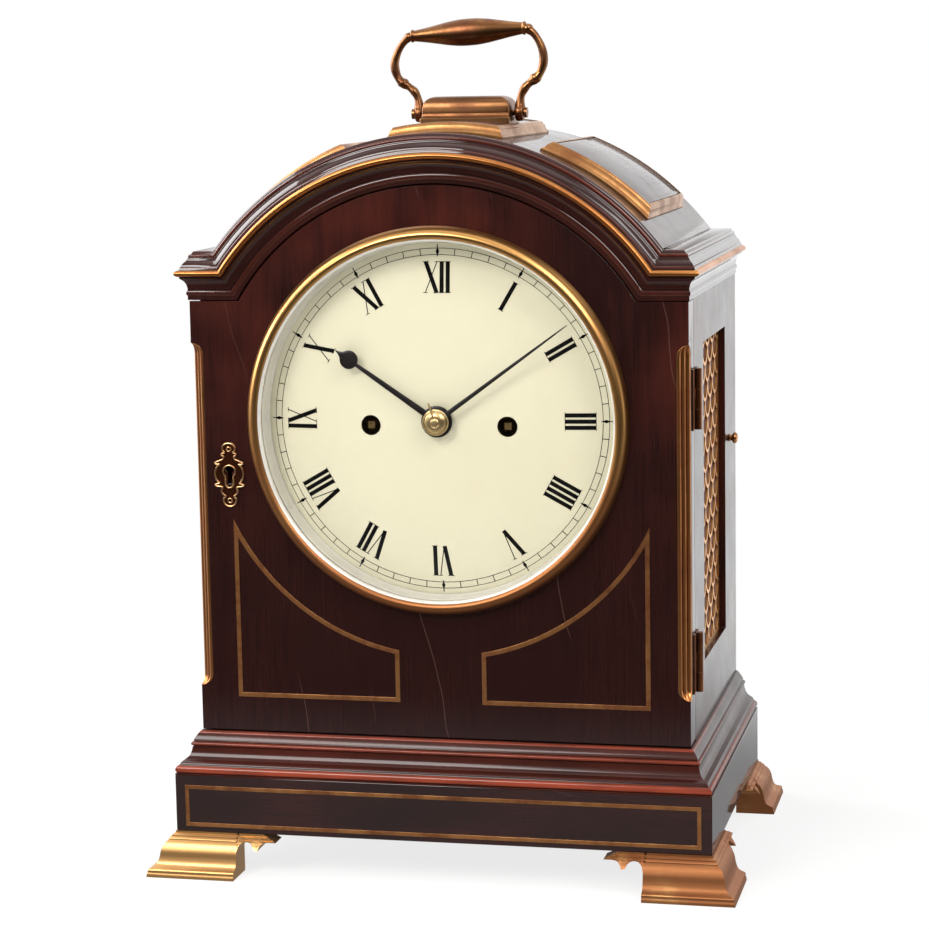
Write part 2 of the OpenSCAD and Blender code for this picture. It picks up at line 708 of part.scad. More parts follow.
// Hinges: the middle third of each knuckle belongs to the door, the outer thirds to the case
module door_hinge_leaves() color(BRASS) for (z = hinge_zs) {
    third = hinge_h / 3;
    difference() {
        union() {
            slab(half_w, half_w + leaf_t, hinge_y - leaf_w, hinge_y - knuckle_r - 0.4,
                z - hinge_h / 2, z + hinge_h / 2);
            slab(half_w, half_w + leaf_t, hinge_y - knuckle_r - 0.5, hinge_y - 0.6,
                z - third / 2 + 0.15, z + third / 2 - 0.15);
            translate([hinge_x, hinge_y, z - third / 2 + 0.15])
                cylinder(r = knuckle_r, h = third - 0.3);
        }
        translate([hinge_x, hinge_y, z - hinge_h]) cylinder(r = hinge_pin_r + play, h = 2 * hinge_h);
    }
}

module case_hinge_leaves() color(BRASS) {
    third = hinge_h / 3;
    for (z = hinge_zs) difference() {
        union() {
            slab(half_w, half_w + leaf_t, hinge_y + knuckle_r + 0.4, hinge_y + leaf_w,
                z - hinge_h / 2, z + hinge_h / 2);
            for (e = [-1, 1]) {
                slab(half_w, half_w + leaf_t, hinge_y + 0.6, hinge_y + knuckle_r + 0.5,
                    z + e * third - third / 2, z + e * third + third / 2);
                translate([hinge_x, hinge_y, z + e * third - third / 2])
                    cylinder(r = knuckle_r, h = third);
            }
        }
        translate([hinge_x, hinge_y, z - hinge_h]) cylinder(r = hinge_pin_r, h = 2 * hinge_h);
    }
    for (z = rear_hinge_zs) difference() {
        union() {
            slab(rear_hinge_x + knuckle_r + 0.4, rear_hinge_x + leaf_w, case_d, case_d + leaf_t,
                z - hinge_h / 2, z + hinge_h / 2);
            for (e = [-1, 1]) {
                slab(rear_hinge_x + 0.6, rear_hinge_x + knuckle_r + 0.5, case_d, case_d + leaf_t,
                    z + e * third - third / 2, z + e * third + third / 2);
                translate([rear_hinge_x, rear_hinge_y, z + e * third - third / 2])
                    cylinder(r = knuckle_r, h = third);
            }
        }
        translate([rear_hinge_x, rear_hinge_y, z - hinge_h])
            cylinder(r = hinge_pin_r, h = 2 * hinge_h);
    }
}

module hinge_pins() color(BRASS) {
    for (z = hinge_zs) translate([hinge_x, hinge_y, z - hinge_h / 2])
        cylinder(r = hinge_pin_r, h = hinge_h);
    for (z = rear_hinge_zs) translate([rear_hinge_x, rear_hinge_y, z - hinge_h / 2])
        cylinder(r = hinge_pin_r, h = hinge_h);
}

// Rear door
module rear_door_outline(inset) union() {
    translate([-rear_half + inset, rear_low + inset])
        square([2 * (rear_half - inset), dial_z - rear_low - inset]);
    translate([0, dial_z]) circle(r = rear_half - inset);
}
module rear_door_frame() color(WOOD) difference() {
    xz(rear_y, case_d) rear_door_outline(rear_gap);
    xz(rear_y - 1, case_d + 1) rear_door_outline(rear_stile);
    rod(catch_x, dial_z, rear_y - 1, case_d + 1, arbor_r + play);
}
module rear_glass() color("#dfe8e6", 0.3)
    xz(case_d - rear_t / 2 - glass_t / 2, case_d - rear_t / 2 + glass_t / 2)
    rear_door_outline(rear_stile + seat_gap);
module rear_door_leaves() color(BRASS) for (z = rear_hinge_zs) {
    third = hinge_h / 3;
    difference() {
        union() {
            slab(rear_hinge_x - leaf_w, rear_hinge_x - knuckle_r - 0.4, case_d, case_d + leaf_t,
                z - hinge_h / 2, z + hinge_h / 2);
            slab(rear_hinge_x - knuckle_r - 0.5, rear_hinge_x - 0.6, case_d, case_d + leaf_t,
                z - third / 2 + 0.15, z + third / 2 - 0.15);
            translate([rear_hinge_x, rear_hinge_y, z - third / 2 + 0.15])
                cylinder(r = knuckle_r, h = third - 0.3);
        }
        translate([rear_hinge_x, rear_hinge_y, z - hinge_h])
            cylinder(r = hinge_pin_r + play, h = 2 * hinge_h);
    }
}
module rear_catch() color(BRASS) union() {
    rod(catch_x, dial_z, rear_y - 4, case_d + 2, arbor_r);
    turned([[0, case_d + 0.3], [2.4, case_d + 0.3], [2, case_d + 2], [4.6, case_d + 3.4],
        [5.2, case_d + 5], [4.4, case_d + 6.6], [0, case_d + 7.4]], catch_x);
    slab(catch_x - 3, catch_x + 3, rear_y - 3.6, rear_y - 0.6, dial_z - 3, dial_z + 17);
}

// Dial and hands
module dial() color("#efe9d6") difference() {
    union() {
        domed(dial_r, dial_rise_t, dial_edge_y, dial_t);
        for (sx = [-1, 1], sz = [-1, 1])
            rod(sx * dial_foot, dial_z + sz * dial_foot, dial_edge_y - 1.2, plate_y, 2.5);
    }
    rod(0, dial_z, -20, plate_y, 4.2);
    for (s = [-1, 1]) rod(s * wind_x, dial_z + wind_dz, -20, plate_y, wind_hole_r);
}

// A hand in the front view, drawn upright with its boss at the origin
module hand_at(angle, y) translate([0, y[1], dial_z]) rotate([90, angle, 0])
    linear_extrude(y[1] - y[0]) children();
module hour_part() hand_at(hour_angle, hour_y) children();
module hour_hand() color("#15161c") difference() {
    union() {
        hour_part() circle(r = 9);
        hour_part() polygon([[-1.9, 0], [-1.3, hour_len - 14], [1.3, hour_len - 14], [1.9, 0]]);
        hour_part() translate([0, hour_len - 9.3]) circle(r = 5.35);
        hour_part() polygon([[-2.6, hour_len - 5], [0, hour_len], [2.6, hour_len - 5]]);
    }
    rod(0, dial_z, -20, plate_y, pipe_r);
}
module minute_part() hand_at(minute_angle, minute_y) children();
module minute_hand() color("#15161c") difference() {
    union() {
        minute_part() circle(r = 6.4);
        minute_part() polygon([[-1.5, 0], [-0.9, minute_len * 0.7], [-0.3, minute_len],
            [0.3, minute_len], [0.9, minute_len * 0.7], [1.5, 0]]);
    }
    rod(0, dial_z, -20, plate_y, cannon_r);
}
module hand_collet() color(BRASS) difference() {
    turned([[0, minute_y[0]], [7.5, minute_y[0]], [7.5, minute_y[0] - 0.8],
        [6.6, minute_y[0] - 1.9], [4.6, minute_y[0] - 2.9], [2.2, minute_y[0] - 3.4],
        [0, minute_y[0] - 3.5]]);
    rod(0, dial_z, minute_y[0] - 1, plate_y, cannon_r);
}

// Toothed outline: straight flanks and pointed tips, with backlash for free running
function tooth_ring(n, m, thick, add, ded) = [for (i = [0 : n - 1]) let (p = 360 / n, a = i * p,
    r = n * m / 2, w = thick * p / 2)
    each [[r - ded * m, a - w * 1.05], [r, a - w], [r + add * m, a - w * 0.12],
        [r + add * m, a + w * 0.12], [r, a + w], [r - ded * m, a + w * 1.05]]];
function polar(list) = [for (q = list) q[0] * [sin(q[1]), cos(q[1])]];

module wheel(pos, n, m, y, phase, crossings) {
    root = n * m / 2 - 1.5 * m;
    rim = root - 2.4;
    translate([pos[0], y[1], dial_z + pos[1]]) rotate([90, phase, 0])
        linear_extrude(y[1] - y[0]) difference() {
        polygon(polar(tooth_ring(n, m, 0.44, 1.1, 1.4)));
        if (crossings > 0) difference() {
            circle(r = rim);
            circle(r = max(rim * 0.24, 3.6));
            for (i = [0 : crossings - 1]) rotate(i * 360 / crossings)
                translate([-1.3, 0]) square([2.6, rim + 1]);
        }
    }
}
module pinion(pos, n, m, y, phase) translate([pos[0], y[1], dial_z + pos[1]])
    rotate([90, phase, 0]) linear_extrude(y[1] - y[0])
    polygon(polar(tooth_ring(n, m, 0.36, 0.7, 1.3)));
module arbor(pos, y0, y1) {
    rod(pos[0], dial_z + pos[1], y0, y1, arbor_r);
    rod(pos[0], dial_z + pos[1], plate_y + 0.2, back_plate_y + plate_t - 0.2, pivot_r);
}
// Angle, seen from the front and clockwise from the top, of the line between two arbors
function bearing(a, b) = atan2(b[0] - a[0], b[1] - a[1]);
// Turns a pinion so that one of its spaces faces a tooth of the wheel that drives it
function mesh_phase(wheel_pos, pinion_pos, wheel_n, wheel_phase, n) =
    let (b = bearing(wheel_pos, pinion_pos), tooth = (b - wheel_phase) * wheel_n / 360,
        off = tooth - round(tooth))
    b + 180 + 180 / n + off * 360 / n;

centre_phase = mesh_phase(going_fusee_pos, centre_pos, great_n, 0, leaves);
third_phase = mesh_phase(centre_pos, third_pos, centre_n, 0, leaves);
escape_phase = mesh_phase(third_pos, escape_pos, third_n, 0, leaves);
pin_phase = mesh_phase(strike_fusee_pos, pin_pos, strike_n, 0, leaves);
fly_phase = mesh_phase(pin_pos, fly_pos, pin_n, 0, leaves);
cannon_phase = mesh_phase(minute_wheel_pos, centre_pos, minute_n, 0, cannon_n);
small_phase = mesh_phase(centre_pos, minute_wheel_pos, hour_n, 0, small_n);

module plate(y, cock_holes) color(BRASS) difference() {
    slab(-plate_half, plate_half, y, y + plate_t, plate_low, plate_high);
    for (p = [third_pos, escape_pos, pallet_pos, pin_pos, fly_pos, hammer_pos, centre_pos])
        rod(p[0], dial_z + p[1], y - 1, y + plate_t + 1,
            (cock_holes && p == pallet_pos) ? 6 : pivot_r + play);
    for (s = [-1, 1]) {
        rod(s * barrel_pos[0], dial_z + barrel_pos[1], y - 1, y + plate_t + 1, 3);
        rod(s * wind_x, dial_z + wind_dz, y - 1, y + plate_t + 1,
            cock_holes ? pivot_r + play : 3 + play);
    }
}
module front_plate() {
    plate(plate_y, false);
    color(BRASS) rod(minute_wheel_pos[0], dial_z + minute_wheel_pos[1], hour_wheel_y[0] - 1.6,
        plate_y + 1, stud_r);
}
module back_plate() plate(back_plate_y, true);

module pillars() color(BRASS) for (p = pillar_spots) turned([[0, plate_y + plate_t],
    [5, plate_y + plate_t], [5, plate_y + plate_t + 3], [3.2, plate_y + plate_t + 5],
    [4.2, plate_y + plate_t + plate_gap / 2], [3.2, back_plate_y - 5], [5, back_plate_y - 3],
    [5, back_plate_y], [0, back_plate_y]], p[0], dial_z + p[1]);

module seat_board() color("#5a3a20") slab(-inner_half, inner_half, plate_y - 2,
    back_plate_y + plate_t + 2, plate_low - board_t, plate_low);

module barrel_arbors() color(STEEL) for (s = [-1, 1]) {
    rod(s * barrel_pos[0], dial_z + barrel_pos[1], plate_y - 6, back_plate_y + plate_t + 1, 3);
    translate([s * barrel_pos[0], plate_y - 0.4, dial_z + barrel_pos[1]]) rotate([90, 0, 0])
        linear_extrude(1.8) polygon(polar([for (i = [0 : 19]) each [[8.6, i * 18], [7, i * 18 + 2]]]));
}
module barrel(s) color(BRASS) difference() {
    union() {
        rod(s * barrel_pos[0], dial_z + barrel_pos[1], barrel_y[0], barrel_y[1], barrel_r - 0.8);
        for (y = [barrel_y[0], barrel_y[1] - 1.5])
            rod(s * barrel_pos[0], dial_z + barrel_pos[1], y, y + 1.5, barrel_r);
    }
    rod(s * barrel_pos[0], dial_z + barrel_pos[1], 0, case_d, 3 + play);
}
module going_barrel() barrel(1);
module strike_barrel() barrel(-1);

// Fusee: a grooved cone that thins out towards the back plate, with its great wheel
function fusee_radius(u) = 1 / (1 / fusee_r[0] + u * (1 / fusee_r[1] - 1 / fusee_r[0]));
module fusee(pos, n, m) {
    step = (fusee_y[1] - fusee_y[0]) / fusee_turns;
    turned(concat([[0, fusee_y[0]]], [for (i = [0 : fusee_turns - 1]) let (r = fusee_radius(i / fusee_turns))
        each [[r, fusee_y[0] + i * step], [r, fusee_y[0] + (i + 0.35) * step],
            [r - 1, fusee_y[0] + (i + 0.5) * step], [r - 1, fusee_y[0] + (i + 0.85) * step]]],
        [[fusee_r[1] + 1, fusee_y[1]], [fusee_r[1] + 1, fusee_y[1] + 1.5], [0, fusee_y[1] + 1.5]]),
        pos[0], dial_z + pos[1]);
    wheel(pos, n, m, [great_y, great_y + 2.5], 0, 0);
    rod(pos[0], dial_z + pos[1], great_y + 1, fusee_y[0] + 1, fusee_r[0] - 2);
    rod(pos[0], dial_z + pos[1], plate_y - 1, train_y1, 3);
    rod(pos[0], dial_z + pos[1], train_y1 - 1, back_plate_y + plate_t - 0.2, pivot_r);
    slab(pos[0] - 2, pos[0] + 2, dial_edge_y - dial_rise_t + 3, plate_y, dial_z + pos[1] - 2,
        dial_z + pos[1] + 2);
}
module going_fusee() color(BRASS) fusee(going_fusee_pos, great_n, great_m);
module strike_fusee() color(BRASS) fusee(strike_fusee_pos, strike_n, strike_m);

module centre_wheel() color(BRASS) {
    wheel(centre_pos, centre_n, centre_m, centre_wheel_y, 0, 5);
    pinion(centre_pos, leaves, great_m, [great_y - 1, great_y + 3.5], centre_phase);
    arbor(centre_pos, train_y0, train_y1);
    rod(0, dial_z, minute_y[0] - 1, plate_y - 0.5, cannon_r);
    rod(0, dial_z, plate_y - 1, plate_y + plate_t, pivot_r);
    pinion(centre_pos, cannon_n, minute_m, [motion_y[0] - 0.6, motion_y[1] + 0.6], cannon_phase);
}
module hour_wheel() color(BRASS) difference() {
    union() {
        wheel(centre_pos, hour_n, hour_m, hour_wheel_y, 0, 0);
        rod(0, dial_z, hour_y[0], hour_wheel_y[1], pipe_r);
    }
    rod(0, dial_z, -20, plate_y, cannon_r + play);
}
module third_wheel() color(BRASS) {
    wheel(third_pos, third_n, third_m, third_wheel_y, 0, 5);
    pinion(third_pos, leaves, centre_m, [centre_wheel_y[0] - 1.2, centre_wheel_y[1] + 1.2], third_phase);
    arbor(third_pos, train_y0, train_y1);
}
module escape_wheel() color(BRASS) {
    translate([escape_pos[0], escape_wheel_y[1], dial_z + escape_pos[1]]) rotate([90, 0, 0])
        linear_extrude(escape_wheel_y[1] - escape_wheel_y[0]) difference() {
        polygon(polar([for (i = [0 : escape_n - 1]) let (a = i * 360 / escape_n)
            each [[escape_r - 2.8, a - 4.6], [escape_r, a], [escape_r, a + 0.9],
                [escape_r - 2.6, a + 3.4]]]));
        difference() {
            circle(r = escape_r - 4.4);
            circle(r = 3.4);
            for (i = [0 : 4]) rotate(i * 72) translate([-0.9, 0]) square([1.8, escape_r]);
        }
    }
    pinion(escape_pos, leaves, third_m, [third_wheel_y[0] - 1.2, third_wheel_y[1] + 1.2], escape_phase);
    arbor(escape_pos, train_y0, train_y1);
}
module minute_wheel() color(BRASS) difference() {
    union() {
        wheel(minute_wheel_pos, minute_n, minute_m, motion_y, 0, 0);
        pinion(minute_wheel_pos, small_n, hour_m, [hour_wheel_y[0] - 0.6, motion_y[0] + 0.1],
            small_phase);
    }
    rod(minute_wheel_pos[0], dial_z + minute_wheel_pos[1], 0, plate_y, stud_r + play);
}

// Strike train
module pin_wheel() color(BRASS) {
    wheel(pin_pos, pin_n, pin_m, pin_wheel_y, 0, 4);
    pinion(pin_pos, leaves, strike_m, [great_y - 1.2, great_y + 3.7], pin_phase);
    for (i = [0 : 7]) rod(pin_pos[0] + pin_path_r * sin(45 * i + 20),
        dial_z + pin_pos[1] + pin_path_r * cos(45 * i + 20), pin_wheel_y[0], pin_wheel_y[1] + 4, 0.8);
    arbor(pin_pos, train_y0, train_y1);
}
module fly() color(BRASS) {
    pinion(fly_pos, leaves, pin_m, [pin_wheel_y[0] - 1.2, pin_wheel_y[1] + 1.2], fly_phase);
    slab(fly_pos[0] - fly_r, fly_pos[0] + fly_r, pin_wheel_y[1] + 8, train_y1 - 3,
        dial_z + fly_pos[1] - 0.4, dial_z + fly_pos[1] + 0.4);
    arbor(fly_pos, train_y0, train_y1);
}

// Escapement: the anchor straddles the wheel and swings with the pendulum
module pallets() color(STEEL) {
    translate([0, escape_wheel_y[1], pallet_z]) rotate([90, 0, 0])
        linear_extrude(escape_wheel_y[1] - escape_wheel_y[0]) {
        circle(r = 3.2);
        for (s = [-1, 1]) polygon([[0, 2.4], [s * 9, 0.6], [s * 15.4, -5.4], [s * 14.6, -10.6],
            [s * 12.6, -9.4], [s * 12.4, -6], [s * 8, -2], [0, -2.4]]);
    }
    rod(0, pallet_z, plate_y + 0.2, cock_y + cock_t - 0.2, pivot_r);
    rod(0, pallet_z, train_y0, train_y1, arbor_r);
    slab(-1.5, 1.5, cock_y - 3, cock_y - 1.4, pallet_z - 40, pallet_z + 2.5);
    slab(-1.2, 1.2, cock_y - 3, pendulum_y - rod_half - 0.2, pallet_z - 40, pallet_z - 37.6);
}

module back_cock() color(BRASS) difference() {
    union() {
        for (x = [-22, 12]) slab(x, x + 10, back_plate_y + plate_t, cock_y, pallet_z - 3, pallet_z + 4.6);
        slab(-22, 22, cock_y, cock_y + cock_t, pallet_z - 3, pallet_z + 4.6);
        slab(-4, 4, cock_y, pendulum_y + 1.6, pallet_z + 1.6, pallet_z + 4.6);
    }
    rod(0, pallet_z, cock_y - 1, cock_y + cock_t + 1, pivot_r + play);
}

module pendulum() color(BRASS) {
    bob_z = pallet_z - pendulum_len;
    slab(-3, 3, pendulum_y - 0.2, pendulum_y + 0.2, pallet_z - 16, pallet_z + 1.2);
    slab(-rod_half, rod_half, pendulum_y - rod_half, pendulum_y + rod_half, bob_z, pallet_z - 15);
    turned([[0, pendulum_y - 5], [bob_r * 0.5, pendulum_y - 4.6], [bob_r, pendulum_y - 0.8],
        [bob_r, pendulum_y + 0.8], [bob_r * 0.5, pendulum_y + 4.6], [0, pendulum_y + 5]], 0, bob_z);
    translate([0, pendulum_y, bob_z - bob_r - 6]) cylinder(r = 2.6, h = 4);
    translate([0, pendulum_y, bob_z - bob_r - 8]) cylinder(r = 1, h = bob_r);
}

// Bell on its post, and the hammer that strikes its rim
module bell() color("#b9a878") {
    skirt = [[1, 0], [0.93, 0.25], [0.8, 0.625], [0.55, 0.875], [0.2, 1], [0, 1]];
    last = len(skirt) - 1;
    translate([0, bell_y, bell_z]) rotate_extrude() polygon(concat(
        [for (p = skirt) [bell_r * p[0], bell_h * p[1]]],
        [for (i = [0 : last]) let (p = skirt[last - i])
            [max(bell_r * p[0] - bell_wall, 0), max(bell_h * p[1] - bell_wall, 0)]]));
    translate([0, bell_y, plate_high]) cylinder(r = 3, h = bell_z + bell_h - plate_high);
    slab(-6, 6, plate_y, back_plate_y + plate_t, plate_high, plate_high + 3);
    translate([0, bell_y, bell_z + bell_h - 0.5]) cylinder(r = 4.5, h = 3);
}
module hammer() color(STEEL) {
    x = hammer_pos[0];
    z = dial_z + hammer_pos[1];
    head_z = bell_z + 4;
    rod(x, z, train_y0, train_y1, arbor_r);
    rod(x, z, plate_y + 0.2, back_plate_y + plate_t - 0.2, pivot_r);
    slab(x - 1.2, x + 1.2, bell_y - 1.2, bell_y + 1.2, z, head_z);
    rod_x(bell_y, head_z, x - 5, -bell_r - 1.4, 4.4);
    slab(x - 1.2, x + 1.2, pin_wheel_y[1] + 0.6, pin_wheel_y[1] + 3.4, z - 6, z);
}

module place() translate([0, -origin_y, 0]) children();
place() plinth();
place() base_moulding();
place() plinth_stringing();
place() feet();
place() side_left();
place() side_right();
place() front_frame();
place() back_frame();
place() roof_shell();
place() cornice();
place() cornice_band();
place() roof_pads();
place() pad_mouldings();
place() handle_block();
place() handle_pins();
place() handle();
place() side_frets();
place() fret_silks();
place() repeat_knob();
place() door_frame();
place() door_stringing();
place() corner_reeds();
place() bezel();
place() door_glass();
place() escutcheon();
place() door_lock();
place() lock_bolt();
place() lock_staple();
place() door_hinge_leaves();
place() case_hinge_leaves();
place() hinge_pins();
place() rear_door_frame();
place() rear_glass();
place() rear_door_leaves();
place() rear_catch();
place() dial();
place() hour_hand();
place() minute_hand();
place() hand_collet();
place() front_plate();
place() back_plate();
place() pillars();
place() seat_board();
place() barrel_arbors();
place() going_barrel();
place() strike_barrel();
place() going_fusee();
place() strike_fusee();
place() centre_wheel();
place() third_wheel();
place() escape_wheel();
place() pallets();
place() minute_wheel();
place() hour_wheel();
place() pin_wheel();
place() fly();
place() back_cock();
place() pendulum();
place() bell();
place() hammer();
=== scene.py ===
"""Looks of an arched mahogany table clock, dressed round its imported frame.

Shapes are worked out in millimetres in the frame's axes: X to the viewer's right, Y from the
door to the back and Z up from the table. They become metres when a mesh is made. Places that
the frame knows are read from its nodes' boxes.
"""

import json
import logging
import math
from contextlib import contextmanager
from dataclasses import dataclass, field
from enum import Enum
from typing import Callable, Iterator, Sequence

import bmesh
import bpy
import numpy as np
from mathutils import Matrix, Vector
from mathutils.geometry import delaunay_2d_cdt

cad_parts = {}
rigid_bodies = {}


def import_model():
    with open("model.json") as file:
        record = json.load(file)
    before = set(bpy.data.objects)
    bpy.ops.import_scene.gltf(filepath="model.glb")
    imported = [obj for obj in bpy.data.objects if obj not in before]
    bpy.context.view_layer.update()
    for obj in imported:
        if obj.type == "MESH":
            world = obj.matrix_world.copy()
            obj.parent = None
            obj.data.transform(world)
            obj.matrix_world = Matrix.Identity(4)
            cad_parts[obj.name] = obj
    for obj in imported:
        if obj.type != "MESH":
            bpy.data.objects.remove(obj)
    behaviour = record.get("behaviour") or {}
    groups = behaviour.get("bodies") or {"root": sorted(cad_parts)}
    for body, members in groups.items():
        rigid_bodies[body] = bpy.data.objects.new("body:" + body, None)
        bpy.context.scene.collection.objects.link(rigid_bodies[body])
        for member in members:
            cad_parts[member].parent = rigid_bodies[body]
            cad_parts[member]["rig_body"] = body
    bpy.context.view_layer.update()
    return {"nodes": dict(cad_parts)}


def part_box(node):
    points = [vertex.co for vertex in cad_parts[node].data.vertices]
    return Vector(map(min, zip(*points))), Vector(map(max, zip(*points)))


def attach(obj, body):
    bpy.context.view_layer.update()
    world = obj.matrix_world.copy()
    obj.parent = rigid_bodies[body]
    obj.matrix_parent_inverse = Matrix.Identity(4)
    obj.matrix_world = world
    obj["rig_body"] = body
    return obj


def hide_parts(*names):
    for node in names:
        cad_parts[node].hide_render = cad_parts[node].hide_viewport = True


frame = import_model()

MM = 0.001
# Points nearer than this, in metres, are one
MERGE = 1e-6
# Height of the dial's centre in metres, for the finishes that change round it
DIAL_HEIGHT = 0.264
Array = np.ndarray
Colour = tuple[float, float, float, float]
log = logging.getLogger("table_clock")


def node_box(node: str) -> tuple[Array, Array]:
    """Gives a node's box.

    Args:
        node: name of the node in the frame.

    Returns:
        Its lowest and highest corner in millimetres.
    """
    low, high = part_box(node)
    return np.array(low) / MM, np.array(high) / MM


@dataclass(frozen=True)
class Places:
    """Sizes and heights that several pieces share, in millimetres."""

    half_w: float
    front: float
    back: float
    foot_top: float
    plinth_top: float
    body_z: float
    shoulder_z: float
    dial_z: float
    arch_r: float
    plinth_out: float
    foot_out: float
    cornice_h: float = 27.5
    dial_rise: float = 7.0

    @property
    def dial(self) -> tuple[float, float, float]:
        """A point on the axis of the dial."""
        return 0.0, 0.0, self.dial_z

    @classmethod
    def read(cls) -> "Places":
        """Reads the places from the frame's boxes."""
        side, door = node_box("side_right"), node_box("door_frame")
        plinth, moulding = node_box("plinth"), node_box("base_moulding")
        bezel, cornice, feet = node_box("bezel"), node_box("cornice"), node_box("feet")
        dial_z = (bezel[0][2] + bezel[1][2]) / 2
        plinth_out = plinth[1][0] - side[1][0]
        return cls(
            half_w=side[1][0], front=door[0][1], back=side[1][1], foot_top=plinth[0][2],
            plinth_top=plinth[1][2], body_z=moulding[1][2], shoulder_z=side[1][2],
            dial_z=dial_z, arch_r=cornice[1][2] - dial_z - cls.cornice_h,
            plinth_out=plinth_out, foot_out=feet[1][0] - plinth[1][0],
        )


def operation(kind: str, flipped: bool = False) -> Callable[..., "Port"]:
    """Makes a method of a port that adds one Math node.

    Args:
        kind: the node's operation.
        flipped: whether the port comes after the other value.

    Returns:
        The method.
    """
    def method(self: "Port", *others: object) -> "Port":
        """Adds the node on this port and the other values."""
        values = (*others, self) if flipped else (self, *others)
        return self.bench.add("ShaderNodeMath", {"operation": kind}, dict(enumerate(values)))
    return method


class Port:
    """An output of a shader node; arithmetic on it adds Math nodes."""

    __add__ = __radd__ = operation("ADD")
    __sub__ = operation("SUBTRACT")
    __rsub__ = operation("SUBTRACT", flipped=True)
    __mul__ = __rmul__ = operation("MULTIPLY")
    __truediv__ = operation("DIVIDE")
    __pow__ = operation("POWER")
    __abs__ = operation("ABSOLUTE")
    fract = operation("FRACT")
    floor = operation("FLOOR")
    sine = operation("SINE")
    # Angle in radians whose tangent is this over the other
    angle = operation("ARCTAN2")

    def __init__(self, bench: "Bench", socket: bpy.types.NodeSocket) -> None:
        """Keeps the bench that makes nodes and the socket itself."""
        self.bench = bench
        self.socket = socket

    def step(self, low: float, high: float) -> "Port":
        """Runs smoothly from 0 at low to 1 at high.

        Args:
            low: value at which the result is 0.
            high: value at which the result is 1; it may be under low.

        Returns:
            The eased value.
        """
        t = self.bench.add("ShaderNodeMapRange", {"interpolation_type": "SMOOTHSTEP"},
                           {0: self, 1: min(low, high), 2: max(low, high)})
        return t if low < high else 1 - t


class Bench:
    """Builds the node tree of a material or a world."""

    def __init__(self, tree: bpy.types.NodeTree) -> None:
        """Takes over an empty tree."""
        self.tree = tree
        tree.nodes.clear()

    def add(self, kind: str, settings: dict[str, object] | None = None,
            inputs: dict[int | str, object] | None = None, output: int | str = 0) -> Port:
        """Adds one node.

        Args:
            kind: Blender's name of the node type.
            settings: values of its own properties.
            inputs: for each socket, by name or number, a plain value or a Port to link.
            output: which output to hand back.

        Returns:
            That output.
        """
        node = self.tree.nodes.new(kind)
        for name, value in (settings or {}).items():
            setattr(node, name, value)
        for name, value in (inputs or {}).items():
            if isinstance(value, Port):
                self.tree.links.new(value.socket, node.inputs[name])
            else:
                node.inputs[name].default_value = value
        return Port(self, node.outputs[output] if len(node.outputs) else None)

    def place(self) -> Port:
        """Object coordinates, in metres."""
        return self.add("ShaderNodeTexCoord", output="Object")

    def stretch(self, vector: Port, scale: Sequence[float]) -> Port:
        """Scales a vector's three axes."""
        return self.add("ShaderNodeMapping", {"vector_type": "POINT"},
                        {"Vector": vector, "Scale": scale})

    def noise(self, vector: Port, scale: float, detail: float = 3.0, rough: float = 0.5,
              warp: float = 0.0) -> Port:
        """Fractal noise from 0 to 1 on a vector."""
        return self.add("ShaderNodeTexNoise", None, {"Vector": vector, "Scale": scale,
                        "Detail": detail, "Roughness": rough, "Distortion": warp})

    def blend(self, first: object, second: object, share: object) -> Port:
        """Colour that goes from the first to the second as share goes from 0 to 1."""
        return self.add("ShaderNodeMix", {"data_type": "RGBA"}, {0: share, 6: first, 7: second}, 2)

    def several(self, node: Port, outputs: Sequence[int | str]) -> tuple[Port, ...]:
        """Some outputs, by name or number, of the node that a port belongs to."""
        return tuple(Port(self, node.socket.node.outputs[output]) for output in outputs)

    def split(self, vector: Port) -> tuple[Port, ...]:
        """The three parts of a vector."""
        return self.several(self.add("ShaderNodeSeparateXYZ", None, {0: vector}), range(3))

    def rays(self) -> tuple[Port, Port]:
        """Whether a ray comes from the camera or through glass, and whether it is glossy."""
        seen, glossy, through = self.several(
            self.add("ShaderNodeLightPath"),
            ("Is Camera Ray", "Is Glossy Ray", "Is Transmission Ray"))
        return seen + through, glossy

    def highlight_and_wear(self) -> Port:
        """How far a mesh is painted bright, from 0 to 1: a painted highlight together with wear."""
        return self.add("ShaderNodeAttribute", {"attribute_name": "highlight_and_wear"}, output="Fac")

    def join(self, x: object, y: object, z: object) -> Port:
        """A vector of three numbers."""
        return self.add("ShaderNodeCombineXYZ", None, {0: x, 1: y, 2: z})

    def bump(self, height: Port, distance: float, strength: float = 1.0) -> Port:
        """Normal of a surface raised by height times distance, in metres."""
        return self.add("ShaderNodeBump", None,
                        {"Height": height, "Distance": distance, "Strength": strength})

    def surface(self, **values: object) -> Port:
        """A Principled shader; each word is a socket's name with _ for a space."""
        return self.add("ShaderNodeBsdfPrincipled", None,
                        {name.replace("_", " "): value for name, value in values.items()})

    def output(self, shader: Port, kind: str = "ShaderNodeOutputMaterial") -> None:
        """Ends the tree in that shader."""
        self.add(kind, None, {0: shader})


@dataclass(frozen=True)
class Finish:
    """A named finish; each kind below says how its surface is worked out."""

    name: str
    slot: str = ""

    def tree(self, bench: Bench) -> None:
        """Builds the nodes; each kind of finish has its own."""
        raise NotImplementedError

    def material(self) -> bpy.types.Material:
        """Makes the material once and hands the same one back later.

        Returns:
            The material.
        """
        found = bpy.data.materials.get(self.name)
        if found:
            return found
        made = bpy.data.materials.new(self.name)
        made.use_nodes = True
        self.tree(Bench(made.node_tree))
        return made


class Grain(Enum):
    """Which way the grain of a piece of wood runs."""

    ALONG = "x"
    DEPTH = "y"
    UP = "z"
    ARCH = "round the dial"


